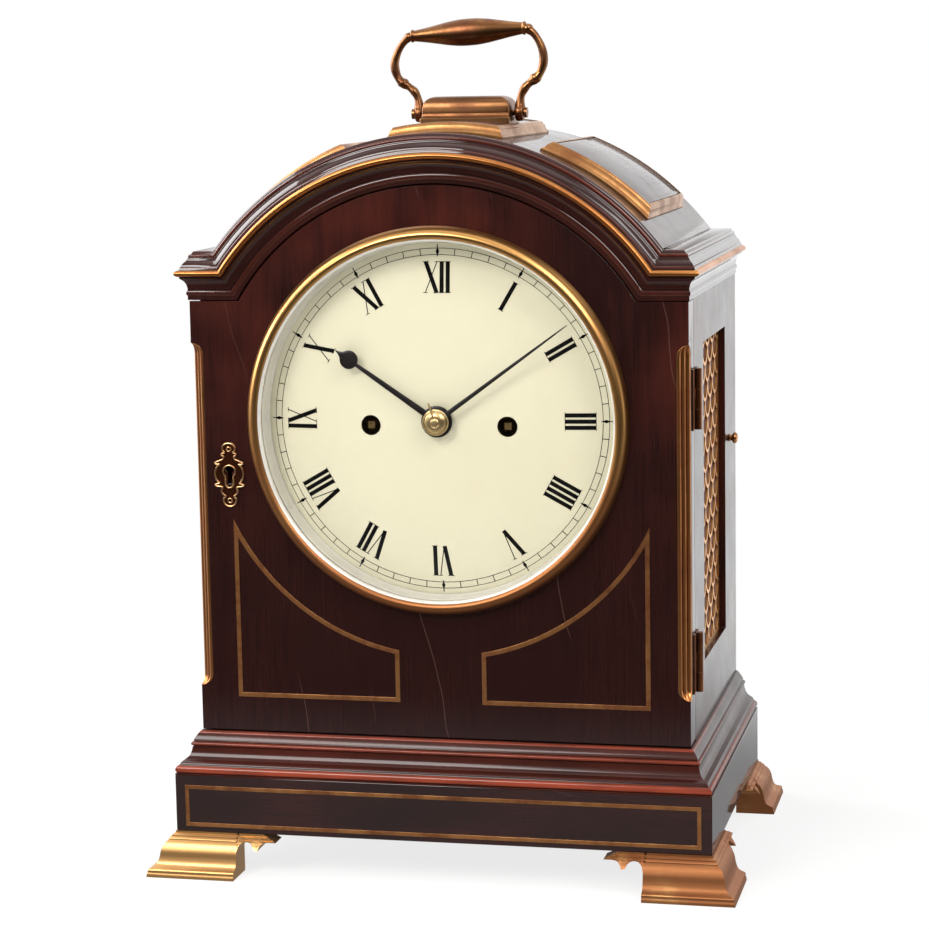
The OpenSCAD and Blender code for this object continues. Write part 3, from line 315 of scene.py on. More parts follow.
@dataclass(frozen=True)
class Mahogany(Finish):
    """French-polished mahogany: streaks along the grain, red glow, pores and hairline cracks, with
    painted highlight on beads and painted shade towards the bottom.
    """

    slot: str = "mahogany"
    grain: Grain = Grain.UP
    dark: Colour = (0.0100, 0.0026, 0.0022, 1)
    red: Colour = (0.060, 0.0100, 0.0058, 1)
    highlit_and_worn_red: Colour = (0.21, 0.034, 0.014, 1)
    redness: float = 0.45
    painted_shade_below: float = 0.0
    cracks: float = 0.5
    polish: float = 0.04
    coat: float = 0.8
    mottle: float = 0.0
    pore: Colour = (0.002, 0.001, 0.001, 1)
    crack: Colour = (0.11, 0.055, 0.045, 1)
    crack_pitch: float = 0.041
    arch_r: float = 0.145

    def along(self, bench: Bench) -> Port:
        """Coordinates whose first axis runs with the grain.

        Args:
            bench: where the nodes go.

        Returns:
            The coordinates, in metres.
        """
        x, y, z = bench.split(bench.place())
        if self.grain is Grain.ALONG:
            return bench.join(x, y, z)
        if self.grain is Grain.DEPTH:
            return bench.join(y, x, z)
        if self.grain is Grain.UP:
            return bench.join(z, x, y)
        rise = z - DIAL_HEIGHT
        radius = (x * x + rise * rise) ** 0.5
        return bench.join(x.angle(rise) * self.arch_r, radius, y)

    def hairlines(self, bench: Bench, p: Port) -> Port:
        """Thin pale cracks: lines every 40 mm that lean, wander and come and go.

        Args:
            bench: where the nodes go.
            p: coordinates along and across the grain.

        Returns:
            How much a crack shows, from 0 to 1.
        """
        along, first, second = bench.split(p)
        across = first + second
        wander = bench.noise(bench.stretch(p, (1, 0.2, 0.2)), 9.0, 2.0) * 0.030
        lane = (across + along * 0.16 + wander) / self.crack_pitch
        line = abs(lane.fract() - 0.5).step(0.010, 0.003)
        shown = bench.noise(bench.join(along * 9.0, lane.floor() * 3.7, 0.0), 1.0, 1.0)
        return line * shown.step(0.56, 0.62) * self.cracks

    def tree(self, bench: Bench) -> None:
        """Mixes dark and red by streak and patch noise, the red fading towards the bottom as
        painted shade, then adds cracks, wear with painted highlight, and pores.

        Args:
            bench: where the nodes go.
        """
        p = self.along(bench)
        streak = bench.noise(bench.stretch(p, (5, 60, 60)), 1.0, 5.0, 0.6, 0.6)
        patch = bench.noise(p, 17.0, 2.0)
        fine = bench.noise(bench.stretch(p, (26, 1000, 1000)), 1.0, 2.0, 0.6)
        _, _, height = bench.split(bench.place())
        # Painted shade: the red glow fades towards the bottom.
        unshaded = 1 - height.step(0.40, 0.16) * self.painted_shade_below
        glow = (streak * 0.45 + patch * 0.65).step(0.42, 0.76) * unshaded * self.redness
        wood = bench.blend(self.dark, self.red, glow + fine * 0.16 * self.redness)
        wood = bench.blend(wood, self.pore, fine.step(0.48, 0.30) * 0.30)
        lines = self.hairlines(bench, p)
        wood = bench.blend(wood, self.crack, lines * 0.7)
        # Painted highlight on beads and edges, together with wear: a bright red where the mesh says
        # so.
        highlit_and_worn_share = bench.highlight_and_wear()
        broken = bench.noise(bench.stretch(p, (24, 160, 160)), 1.0, 3.0).step(0.25, 0.62)
        wood = bench.blend(wood, self.highlit_and_worn_red, highlit_and_worn_share * (0.45 + 0.55 * broken))
        smear = bench.noise(p, 34.0, 3.0, 0.6)
        relief = fine * 0.5 - lines * 0.8 + smear * 0.25
        bench.output(bench.surface(
            Base_Color=wood, Roughness=0.30 + smear * 0.22,
            Coat_Weight=self.coat - lines * 0.4 - (fine * 0.6 + smear * 0.6) * self.mottle,
            Coat_Roughness=self.polish, Coat_IOR=1.52, Specular_IOR_Level=0.06,
            Normal=bench.bump(relief, 0.00006, 0.6)))


@dataclass(frozen=True)
class Brass(Finish):
    """Lacquered brass: golden where it is rubbed and where a highlight is painted, brown in
    patches, with painted shade towards one side and fine scratches.
    """

    slot: str = "brass"
    gold: Colour = (0.66, 0.345, 0.105, 1)
    brown: Colour = (0.27, 0.090, 0.030, 1)
    patina: float = 0.5
    scale: float = 45.0
    rough: float = 0.24
    relief: float = 0.00002
    brushed: tuple[float, float, float] = (1, 1, 1)
    grit: float = 0.35
    painted_shade_right: float = 0.0
    painted_shade_down: float = 0.0
    metallic: float = 1.0
    highlit_and_worn: Colour | None = None

    def tree(self, bench: Bench) -> None:
        """Mixes gold and brown by cloudy noise, darkens towards the right and the bottom as painted
        shade, paints highlights and wear, and scratches the surface along one axis.

        Args:
            bench: where the nodes go.
        """
        p = bench.place()
        x, _, z = bench.split(p)
        cloud = bench.noise(p, self.scale, 3.0, 0.55, 0.4)
        streak = bench.noise(bench.stretch(p, self.brushed), 420.0, 3.0, 0.6)
        # Painted shade: darker towards the right and towards the bottom.
        lean = x * self.painted_shade_right + (DIAL_HEIGHT - z) * self.painted_shade_down
        share = (cloud * 0.70 + (streak - 0.5) * self.grit + 0.175 + lean).step(0.36, 0.72)
        metal = bench.blend(self.gold, self.brown, share * self.patina)
        # Painted highlight and wear: towards the bright colour where the mesh says so.
        metal = bench.blend(metal, self.highlit_and_worn or self.gold, bench.highlight_and_wear() * 0.85)
        bench.output(bench.surface(
            Base_Color=metal, Metallic=self.metallic,
            Roughness=self.rough + share * 0.14 + streak * self.grit * 0.15,
            Normal=bench.bump(streak, self.relief, 0.7)))


@dataclass(frozen=True)
class Paint(Finish):
    """Old oil paint on a metal plate, with faint clouds and a thin varnish."""

    slot: str = "dial_paint"
    body: Colour = (0.56, 0.530, 0.395, 1)
    aged: Colour = (0.48, 0.440, 0.315, 1)
    ageing: float = 0.4
    varnish: float = 0.15
    rough: float = 0.42
    shine: float = 0.25

    def tree(self, bench: Bench) -> None:
        """Mixes fresh and aged paint by two sizes of noise.

        Args:
            bench: where the nodes go.
        """
        p = bench.place()
        cloud = bench.noise(p, 14.0, 4.0, 0.55)
        speck = bench.noise(p, 900.0, 2.0, 0.5)
        tone = (cloud.step(0.40, 0.75) * 0.8 + speck.step(0.62, 0.80) * 0.35) * self.ageing
        bench.output(bench.surface(
            Base_Color=bench.blend(self.body, self.aged, tone), Roughness=self.rough + cloud * 0.1,
            Coat_Weight=self.varnish, Coat_Roughness=0.12, Specular_IOR_Level=self.shine,
            Normal=bench.bump(cloud + speck * 0.2, 0.00003, 0.5)))


@dataclass(frozen=True)
class Steel(Finish):
    """Polished or blued steel with fine brush marks."""

    slot: str = "steel"
    body: Colour = (0.36, 0.36, 0.38, 1)
    tint: Colour = (0.20, 0.19, 0.20, 1)
    metallic: float = 1.0
    rough: float = 0.30

    def tree(self, bench: Bench) -> None:
        """Varies the tone and the gloss by fine noise.

        Args:
            bench: where the nodes go.
        """
        p = bench.place()
        grain = bench.noise(bench.stretch(p, (1, 6, 1)), 500.0, 3.0)
        cloud = bench.noise(p, 60.0, 3.0)
        bench.output(bench.surface(
            Base_Color=bench.blend(self.body, self.tint, cloud), Metallic=self.metallic,
            Roughness=self.rough + grain * 0.15, Normal=bench.bump(grain, 0.00002, 0.5)))


@dataclass(frozen=True)
class Silk(Finish):
    """Woven silk: warp and weft as two crossed sine waves."""

    slot: str = "silk"
    body: Colour = (0.13, 0.022, 0.010, 1)
    shade: Colour = (0.035, 0.006, 0.004, 1)
    pitch: float = 0.0009

    def tree(self, bench: Bench) -> None:
        """Weaves two sine waves across Y and Z and shades the hollows.

        Args:
            bench: where the nodes go.
        """
        _, y, z = bench.split(bench.place())
        turn = 2 * math.pi / self.pitch
        weave = ((y * turn).sine() * (z * turn).sine()) * 0.5 + 0.5
        cloud = bench.noise(bench.place(), 40.0, 3.0)
        bench.output(bench.surface(
            Base_Color=bench.blend(self.body, self.shade, weave * 0.5 + cloud * 0.5),
            Roughness=0.6 + weave * 0.2, Sheen_Weight=0.05, Sheen_Roughness=0.4,
            Normal=bench.bump(weave, 0.0001, 0.8)))


@dataclass(frozen=True)
class ClearGlass(Finish):
    """Thin clear glass: a see-through sheet with gloss that grows towards grazing views."""

    slot: str = "glass"
    tint: Colour = (0.99, 0.99, 0.985, 1)
    gloss_ahead: float = 0.02

    def tree(self, bench: Bench) -> None:
        """Mixes gloss over a clear sheet: a little ahead, plus more by how far it turns away.

        Args:
            bench: where the nodes go.
        """
        smear = bench.noise(bench.place(), 22.0, 3.0)
        clear = bench.add("ShaderNodeBsdfTransparent", None, {"Color": self.tint})
        gloss = bench.add("ShaderNodeBsdfAnisotropic", None,
                          {"Color": (1, 1, 1, 1), "Roughness": 0.03})
        facing = bench.add("ShaderNodeLayerWeight", None, {"Blend": 0.5}, "Facing")
        share = (self.gloss_ahead + facing ** 5.0 * 0.7) * (0.8 + smear * 0.4)
        bench.output(bench.add("ShaderNodeMixShader", None, {0: share, 1: clear, 2: gloss}))


@dataclass(frozen=True)
class PaleFloor(Finish):
    """A floor that looks white and keeps a soft shadow near the clock."""

    matt: Colour = (0.86, 0.86, 0.85, 1)
    mirrored: float = 0.98

    def tree(self, bench: Bench) -> None:
        """Mixes glow over a matt floor: the camera sees more of it away from the clock, and
        gloss sees it ahead and behind.

        Args:
            bench: where the nodes go.
        """
        clear, glossy = bench.rays()
        x, y, _ = bench.split(bench.place())
        away = ((x * x + y * y) ** 0.5).step(0.25, 0.60)
        near = y.step(-0.56, -0.34) * 0.40 + y.step(0.15, 0.60) * self.mirrored
        white = clear * (0.80 + 0.20 * away)
        glow = bench.add("ShaderNodeEmission", None,
                         {"Color": (1, 1, 1, 1), "Strength": 1 - glossy * (self.mirrored - near)})
        matt = bench.add("ShaderNodeBsdfDiffuse", None, {"Color": self.matt})
        bench.output(bench.add("ShaderNodeMixShader", None, {0: white + glossy, 1: matt, 2: glow}))


class Wood:
    """The woods of the case by place."""

    # The door's red glow fades towards its bottom as painted shade.
    DOOR = Mahogany("mahogany_door", grain=Grain.UP, redness=0.75, painted_shade_below=0.92, cracks=0.45)
    FRONT = Mahogany("mahogany_mouldings", grain=Grain.ALONG, redness=0.28, cracks=0.10,
                     coat=0.40, polish=0.12)
    PLINTH = Mahogany("mahogany_plinth", grain=Grain.ALONG, redness=0.20, cracks=0.25)
    SIDE = Mahogany("mahogany_sides", grain=Grain.UP, redness=0.6, cracks=0.35, mottle=0.45)
    ARCH = Mahogany("mahogany_arch", grain=Grain.ARCH, dark=(0.008, 0.0022, 0.0018, 1),
                    redness=0.14, cracks=0.05)
    ROOF = Mahogany("mahogany_roof", grain=Grain.DEPTH, redness=0.5, cracks=0.3, mottle=0.40)
    INSIDE = Mahogany("mahogany_inside", grain=Grain.UP, dark=(0.05, 0.018, 0.009, 1),
                      red=(0.13, 0.045, 0.018, 1), coat=0.1, polish=0.4, cracks=0.2)


class Metal:
    """The metals and paints of the mounts, the dial and the movement."""

    # The bezel darkens towards its bottom as painted shade.
    BEZEL = Brass("brass_bezel", gold=(0.66, 0.345, 0.115, 1), brown=(0.25, 0.082, 0.034, 1),
                  patina=0.95, rough=0.31, scale=11.0, grit=0.05, relief=0.000004, painted_shade_down=2.2)
    BAND = Brass("brass_band", gold=(0.52, 0.215, 0.062, 1), brown=(0.22, 0.066, 0.022, 1),
                 patina=0.8, rough=0.27, scale=16.0, grit=0.05, relief=0.000004)
    PAD = Brass("brass_pad_edges", gold=(0.38, 0.190, 0.070, 1), brown=(0.15, 0.050, 0.021, 1),
                patina=0.80, rough=0.30, scale=50.0, grit=0.15)
    COLLET = Brass("brass_collet", gold=(0.78, 0.58, 0.30, 1), brown=(0.50, 0.31, 0.12, 1),
                   patina=0.5, rough=0.30, scale=220.0, grit=0.05)
    KEYHOLE = Brass("brass_keyhole", gold=(0.20, 0.060, 0.026, 1), brown=(0.075, 0.020, 0.010, 1),
                    patina=1.0, rough=0.26, scale=160.0, highlit_and_worn=(0.80, 0.50, 0.25, 1))
    HINGE = Brass("brass_hinges", gold=(0.30, 0.120, 0.050, 1), brown=(0.10, 0.032, 0.017, 1),
                  patina=0.9, rough=0.32, scale=70.0, grit=0.15)
    MOUNT = Brass("brass_mounts", gold=(0.62, 0.30, 0.105, 1), brown=(0.12, 0.035, 0.015, 1),
                  patina=0.95, rough=0.25, scale=70.0)
    LINE = Brass("brass_lines", gold=(0.56, 0.255, 0.095, 1), brown=(0.19, 0.064, 0.030, 1),
                 patina=0.9, rough=0.38, scale=60.0, grit=0.2)
    REED = Brass("brass_reeds", gold=(0.62, 0.270, 0.095, 1), brown=(0.26, 0.082, 0.032, 1),
                 patina=0.8, rough=0.28, scale=40.0, brushed=(1, 1, 0.08), grit=0.25)
    # The feet darken towards the right as painted shade.
    FOOT = Brass("brass_feet", gold=(0.53, 0.295, 0.115, 1), brown=(0.29, 0.110, 0.044, 1),
                 patina=0.95, rough=0.36, scale=34.0, brushed=(0.10, 0.10, 2.2), painted_shade_right=1.2)
    HANDLE = Brass("brass_handle", gold=(0.31, 0.150, 0.056, 1), brown=(0.10, 0.030, 0.016, 1),
                   patina=0.95, rough=0.26, scale=55.0, grit=0.05, relief=0.000004,
                   highlit_and_worn=(0.62, 0.40, 0.17, 1))
    BLOCK = Brass("brass_block", gold=(0.19, 0.080, 0.032, 1), brown=(0.085, 0.028, 0.015, 1),
                  patina=0.9, rough=0.30, scale=60.0, grit=0.10, relief=0.000004,
                  highlit_and_worn=(0.45, 0.26, 0.11, 1))
    SILVER = Brass("silvered_brass", gold=(0.74, 0.725, 0.69, 1), brown=(0.52, 0.49, 0.44, 1),
                   patina=0.8, rough=0.34, scale=24.0, grit=0.10, metallic=0.45)
    FRET = Brass("brass_frets", gold=(0.82, 0.45, 0.155, 1), brown=(0.34, 0.12, 0.04, 1),
                 patina=0.6, rough=0.30, scale=120.0)
    WORK = Brass("brass_movement", gold=(0.80, 0.56, 0.24, 1), patina=0.35, rough=0.22, scale=90.0,
                 brushed=(1, 1, 12))
    BELL = Brass("cast_bell", slot="bell_metal", gold=(0.62, 0.52, 0.34, 1),
                 brown=(0.34, 0.25, 0.14, 1), patina=0.6, rough=0.28)
    STEEL = Steel("polished_steel")
    BLUED = Steel("blued_hands", slot="blued_steel", body=(0.010, 0.009, 0.011, 1),
                  tint=(0.020, 0.014, 0.014, 1), metallic=0.35, rough=0.24)
    DIAL = Paint("painted_sheet")
    INK = Paint("dial_ink", body=(0.004, 0.0035, 0.0035, 1), aged=(0.010, 0.008, 0.007, 1),
                varnish=0.0, rough=0.8, shine=0.04)
    SILK = Silk("fret_silk")
    GLASS = ClearGlass("clear_glass")


@contextmanager
def edited(mesh: bpy.types.Mesh) -> Iterator[bmesh.types.BMesh]:
    """Opens a mesh with its doubles merged and writes it back when the edits are done.

    Args:
        mesh: the mesh to edit.

    Yields:
        The open mesh.
    """
    work = bmesh.new()
    work.from_mesh(mesh)
    bmesh.ops.remove_doubles(work, verts=work.verts, dist=MERGE)
    yield work
    work.to_mesh(mesh)
    work.free()


def placed(name: str, data: bpy.types.ID) -> bpy.types.Object:
    """Makes an object of a mesh, a lamp or a camera and links it to the scene.

    Args:
        name: its name.
        data: what it shows.

    Returns:
        The object.
    """
    made = bpy.data.objects.new(name, data)
    bpy.context.scene.collection.objects.link(made)
    return made


def dress(name: str, mesh: bpy.types.Mesh, node: str, finish: Finish, crease: float = 35.0,
          extra: bool = False) -> bpy.types.Object:
    """Makes a piece of a mesh that is already in place.

    Args:
        name: the piece's name.
        mesh: its mesh, in metres in the frame's axes.
        node: the node that it stands for, on whose body it rides.
        finish: what it is made of.
        crease: angle in degrees past which an edge is sharp.
        extra: whether it only goes with the node, which stays.

    Returns:
        The piece.
    """
    body = frame["nodes"][node]["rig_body"]
    piece = placed(name, mesh)
    mesh.materials.clear()
    mesh.materials.append(finish.material())
    mesh.shade_smooth()
    mesh.set_sharp_from_angle(angle=math.radians(crease))
    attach(piece, body)
    if not extra:
        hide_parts(node)
    log.info("%s rides on %s with %d faces", name, body, len(mesh.polygons))
    return piece


def softened(node: str, finish: Finish, width: float = 0.4, crease: float = 35.0,
             convex: bool = False) -> bpy.types.Object:
    """A copy of a node whose sharp edges are rounded, standing for the node.

    Args:
        node: the node to copy.
        finish: what it is made of.
        width: width of the rounding in millimetres.
        crease: angle in degrees past which an edge is sharp.
        convex: whether faces with a hollow outline, such as a crescent, are split.

    Returns:
        The new piece.
    """
    mesh = frame["nodes"][node].data.copy()
    with edited(mesh) as work:
        bmesh.ops.dissolve_limit(work, angle_limit=math.radians(0.3), verts=work.verts,
                                 edges=work.edges)
        if convex:
            bmesh.ops.connect_verts_concave(work, faces=work.faces)
    piece = dress(node + "_piece", mesh, node, finish, crease)
    round_off = piece.modifiers.new("rounding", "BEVEL")
    round_off.width = width * MM
    round_off.segments = 2
    round_off.limit_method = "ANGLE"
    round_off.angle_limit = math.radians(crease)
    round_off.use_clamp_overlap = True
    return piece


def coat_node(node: str, finish: Finish) -> None:
    """Gives a node of the frame a finish and leaves its mesh alone.

    Args:
        node: name of the node.
        finish: what it is made of.
    """
    target = frame["nodes"][node]
    target.data.materials.clear()
    target.data.materials.append(finish.material())


def run(points: Sequence[Sequence[float]], steps: int = 6) -> Array:
    """A smooth curve through points: on each span a cubic whose end slopes are half the chord
    between the neighbours of that end.

    Args:
        points: the points, each a list of numbers.
        steps: pieces in each span.

    Returns:
        The curve's points; two points give a straight line of just those two.
    """
    p = np.asarray(points, float)
    if len(p) == 2:
        return p
    q = np.vstack([2 * p[0] - p[1], p, 2 * p[-1] - p[-2]])
    a, b, c, d = q[:-3], q[1:-2], q[2:-1], q[3:]
    t = np.linspace(0, 1, steps, endpoint=False)[:, None, None]
    curve = 0.5 * (2 * b + (c - a) * t + (2 * a - 5 * b + 4 * c - d) * t**2
                   + (3 * b - a - 3 * c + d) * t**3)
    return np.vstack([curve.transpose(1, 0, 2).reshape(-1, p.shape[1]), p[-1:]])


def joined(*parts: Array) -> Array:
    """Broadcasts coordinates to one shape and joins them as the last axis."""
    return np.stack(np.broadcast_arrays(*parts), -1)


def around(n: int) -> Array:
    """Angles in radians of n points round a circle."""
    return np.linspace(0, 2 * np.pi, n, endpoint=False)


def outline(*runs: tuple[Sequence[Sequence[float]], float]) -> tuple[Array, Array]:
    """Joins smooth runs into one profile with sharp corners between them.

    Args:
        runs: pairs of a run's points and how far it is painted bright as highlight and wear, from 0
            to 1.

    Returns:
        The profile's points and how far each is painted bright as highlight and wear.
    """
    parts = [run(points) for points, _ in runs]
    highlights_and_wear = [np.full(len(part), highlit_and_worn) for part, (_, highlit_and_worn) in zip(parts, runs)]
    return np.vstack(parts), np.concatenate(highlights_and_wear)


class Shell:
    """Collects grids and flat caps in millimetres and joins them into one mesh."""

    def __init__(self) -> None:
        """Starts empty."""
        self.points: list[Array] = []
        self.highlights_and_wear: list[Array] = []
        self.faces: list[list[int]] = []
        self.count = 0

    def grid(self, p: Array, wrap_u: bool = False, wrap_v: bool = False,
             highlight_and_wear: Array | float = 0.0) -> "Shell":
        """Adds a surface given as points on a grid: quads between neighbours.

        Args:
            p: points of shape (u, v, 3).
            wrap_u: whether the last row joins the first.
            wrap_v: whether the last column joins the first.
            highlight_and_wear: how far it is painted bright as highlight and wear, one value, one
                per column or one per point.

        Returns:
            The shell itself.
        """
        rows, cols = p.shape[:2]
        u, v = np.meshgrid(np.arange(rows if wrap_u else rows - 1),
                           np.arange(cols if wrap_v else cols - 1), indexing="ij")
        u1, v1 = (u + 1) % rows, (v + 1) % cols
        quads = np.stack([u * cols + v, u1 * cols + v, u1 * cols + v1, u * cols + v1], -1)
        self.faces += (quads.reshape(-1, 4) + self.count).tolist()
        self._keep(p.reshape(-1, 3), np.broadcast_to(highlight_and_wear, (rows, cols)).reshape(-1))
        return self

    def cap(self, loop: Array) -> "Shell":
        """Adds one flat face round a loop of points.

        Args:
            loop: its points (n, 3).

        Returns:
            The shell itself.
        """
        self.faces.append(list(range(self.count, self.count + len(loop))))
        self._keep(loop, np.zeros(len(loop)))
        return self

    def tube(self, p: Array, highlight_and_wear: Array | float = 0.0) -> "Shell":
        """Adds a grid of closed loops with a cap at both ends."""
        return self.grid(p, wrap_v=True, highlight_and_wear=highlight_and_wear).cap(p[0]).cap(p[-1])

    def turn(self, profile: Array, centre: Sequence[float], axis: int, steps: int,
             closed: bool = False, highlight_and_wear: Array | float = 0.0) -> "Shell":
        """Adds turned work; a closed profile goes round a hole."""
        return self.grid(turned(profile, centre, axis, steps), wrap_u=True, wrap_v=closed, highlight_and_wear=highlight_and_wear)

    def triangles(self, p: Array, faces: Array) -> "Shell":
        """Adds triangles given as rows of indices into p.

        Args:
            p: the points (n, 3).
            faces: rows of three indices.

        Returns:
            The shell itself.
        """
        self.faces += (faces + self.count).tolist()
        self._keep(p, np.zeros(len(p)))
        return self

    def _keep(self, p: Array, highlight_and_wear: Array) -> None:
        """Stores points and how far each is painted bright as highlight and wear.

        Args:
            p: the points (n, 3).
            highlight_and_wear: one value per point.
        """
        self.points.append(p)
        self.highlights_and_wear.append(highlight_and_wear)
        self.count += len(p)

    def mesh(self, name: str) -> bpy.types.Mesh:
        """Joins all that was added, merges doubles and turns the faces outwards.

        Args:
            name: the mesh's name.

        Returns:
            The mesh, in metres.
        """
        mesh = bpy.data.meshes.new(name)
        mesh.from_pydata((np.concatenate(self.points) * MM).tolist(), [], self.faces)
        mesh.attributes.new("highlight_and_wear", "FLOAT", "POINT").data.foreach_set(
            "value", np.concatenate(self.highlights_and_wear).astype(np.float32))
        with edited(mesh) as work:
            bmesh.ops.recalc_face_normals(work, faces=work.faces)
        return mesh

    def piece(self, name: str, node: str, finish: Finish, crease: float = 35.0,
              extra: bool = False) -> bpy.types.Object:
        """Makes the mesh and dresses it as a piece."""
        return dress(name, self.mesh(name), node, finish, crease, extra)


def turned(profile: Array, centre: Sequence[float], axis: int, steps: int) -> Array:
    """Turned work: each profile point (radius, place on the axis) goes round a circle.

    Args:
        profile: points of (radius, place on the axis).
        centre: the axis passes through this point.
        axis: 0, 1 or 2 for an axis along X, Y or Z.
        steps: points round the circle.

    Returns:
        A grid to wrap in both directions.
    """
    angle = around(steps)[:, None]
    grid = np.zeros((steps, len(profile), 3))
    first, second = [i for i in range(3) if i != axis]
    grid[..., first] = profile[:, 0] * np.sin(angle) + centre[first]
    grid[..., second] = profile[:, 0] * np.cos(angle) + centre[second]
    grid[..., axis] = profile[:, 1] + centre[axis]
    return grid


def swept(path: Array, section: Array) -> Array:
    """Carries sections along a path; the section's axes stay square to the path's tangent.

    Args:
        path: points (n, 3) in a plane of constant Y.
        section: for each path point a loop (n, m, 2) of (across in the plane, along Y).

    Returns:
        A grid of shape (n, m, 3), to wrap in v.
    """
    tangent = np.gradient(path, axis=0)
    tangent /= np.linalg.norm(tangent, axis=1, keepdims=True)
    across = np.stack([tangent[:, 2], np.zeros(len(path)), -tangent[:, 0]], -1)
    depth = np.array([0.0, 1.0, 0.0])
    return path[:, None] + section[..., :1] * across[:, None] + section[..., 1:] * depth


def plate(loops: Sequence[Array], inner: Array, inside: Callable[[Array], Array],
          front: Callable[[Array], Array], back: Callable[[Array], Array]) -> Shell:
    """A sheet with holes: a constrained Delaunay net between its loops, raised to two surfaces.

    Args:
        loops: closed outlines (n, 2) in X and Z, the rim and the holes.
        inner: loose points (k, 2) inside that let the sheet bend.
        inside: says for points (k, 2) whether they lie in the sheet.
        front: Y of the front surface at points (k, 2).
        back: Y of the back surface at points (k, 2).

    Returns:
        The closed shell.
    """
    flat = np.vstack([*loops, inner])
    edges, start = [], 0
    for loop in loops:
        n = len(loop)
        edges += [(start + i, start + (i + 1) % n) for i in range(n)]
        start += n
    points, _, faces, *_ = delaunay_2d_cdt([Vector(p) for p in flat], edges, [], 0, 1e-5)
    net = np.array([tuple(p) for p in points])
    tris = np.array([list(f) for f in faces if len(f) == 3])
    tris = tris[inside(net[tris].mean(axis=1))]
    shell = Shell()
    for height in (front, back):
        shell.triangles(joined(net[:, 0], height(net), net[:, 1]), tris)
    for loop in loops:
        rim = np.stack([joined(loop[:, 0], f(loop), loop[:, 1]) for f in (front, back)], 1)
        shell.grid(rim, wrap_u=True)
    return shell


def arc(x: float, z: float, r: float, angle: Array) -> Array:
    """Points (n, 2) round a centre at angles in radians, clockwise from the top."""
    return joined(x + r * np.sin(angle), z + r * np.cos(angle))


def circle(x: float, z: float, r: float, n: int) -> Array:
    """Points (n, 2) on a circle."""
    return arc(x, z, r, around(n))


def within(loop: Array, q: Array) -> Array:
    """Whether points (k, 2) lie in a loop, by counting its crossings to their right.

    Args:
        loop: the closed outline (n, 2).
        q: the points.

    Returns:
        True for each point inside.
    """
    a, b = loop, np.roll(loop, -1, axis=0)
    z = q[:, 1:2]
    rise = np.where(b[:, 1] == a[:, 1], 1.0, b[:, 1] - a[:, 1])
    cross_x = a[:, 0] + (z - a[:, 1]) / rise * (b[:, 0] - a[:, 0])
    return (((a[:, 1] > z) != (b[:, 1] > z)) & (q[:, :1] < cross_x)).sum(axis=1) % 2 == 1


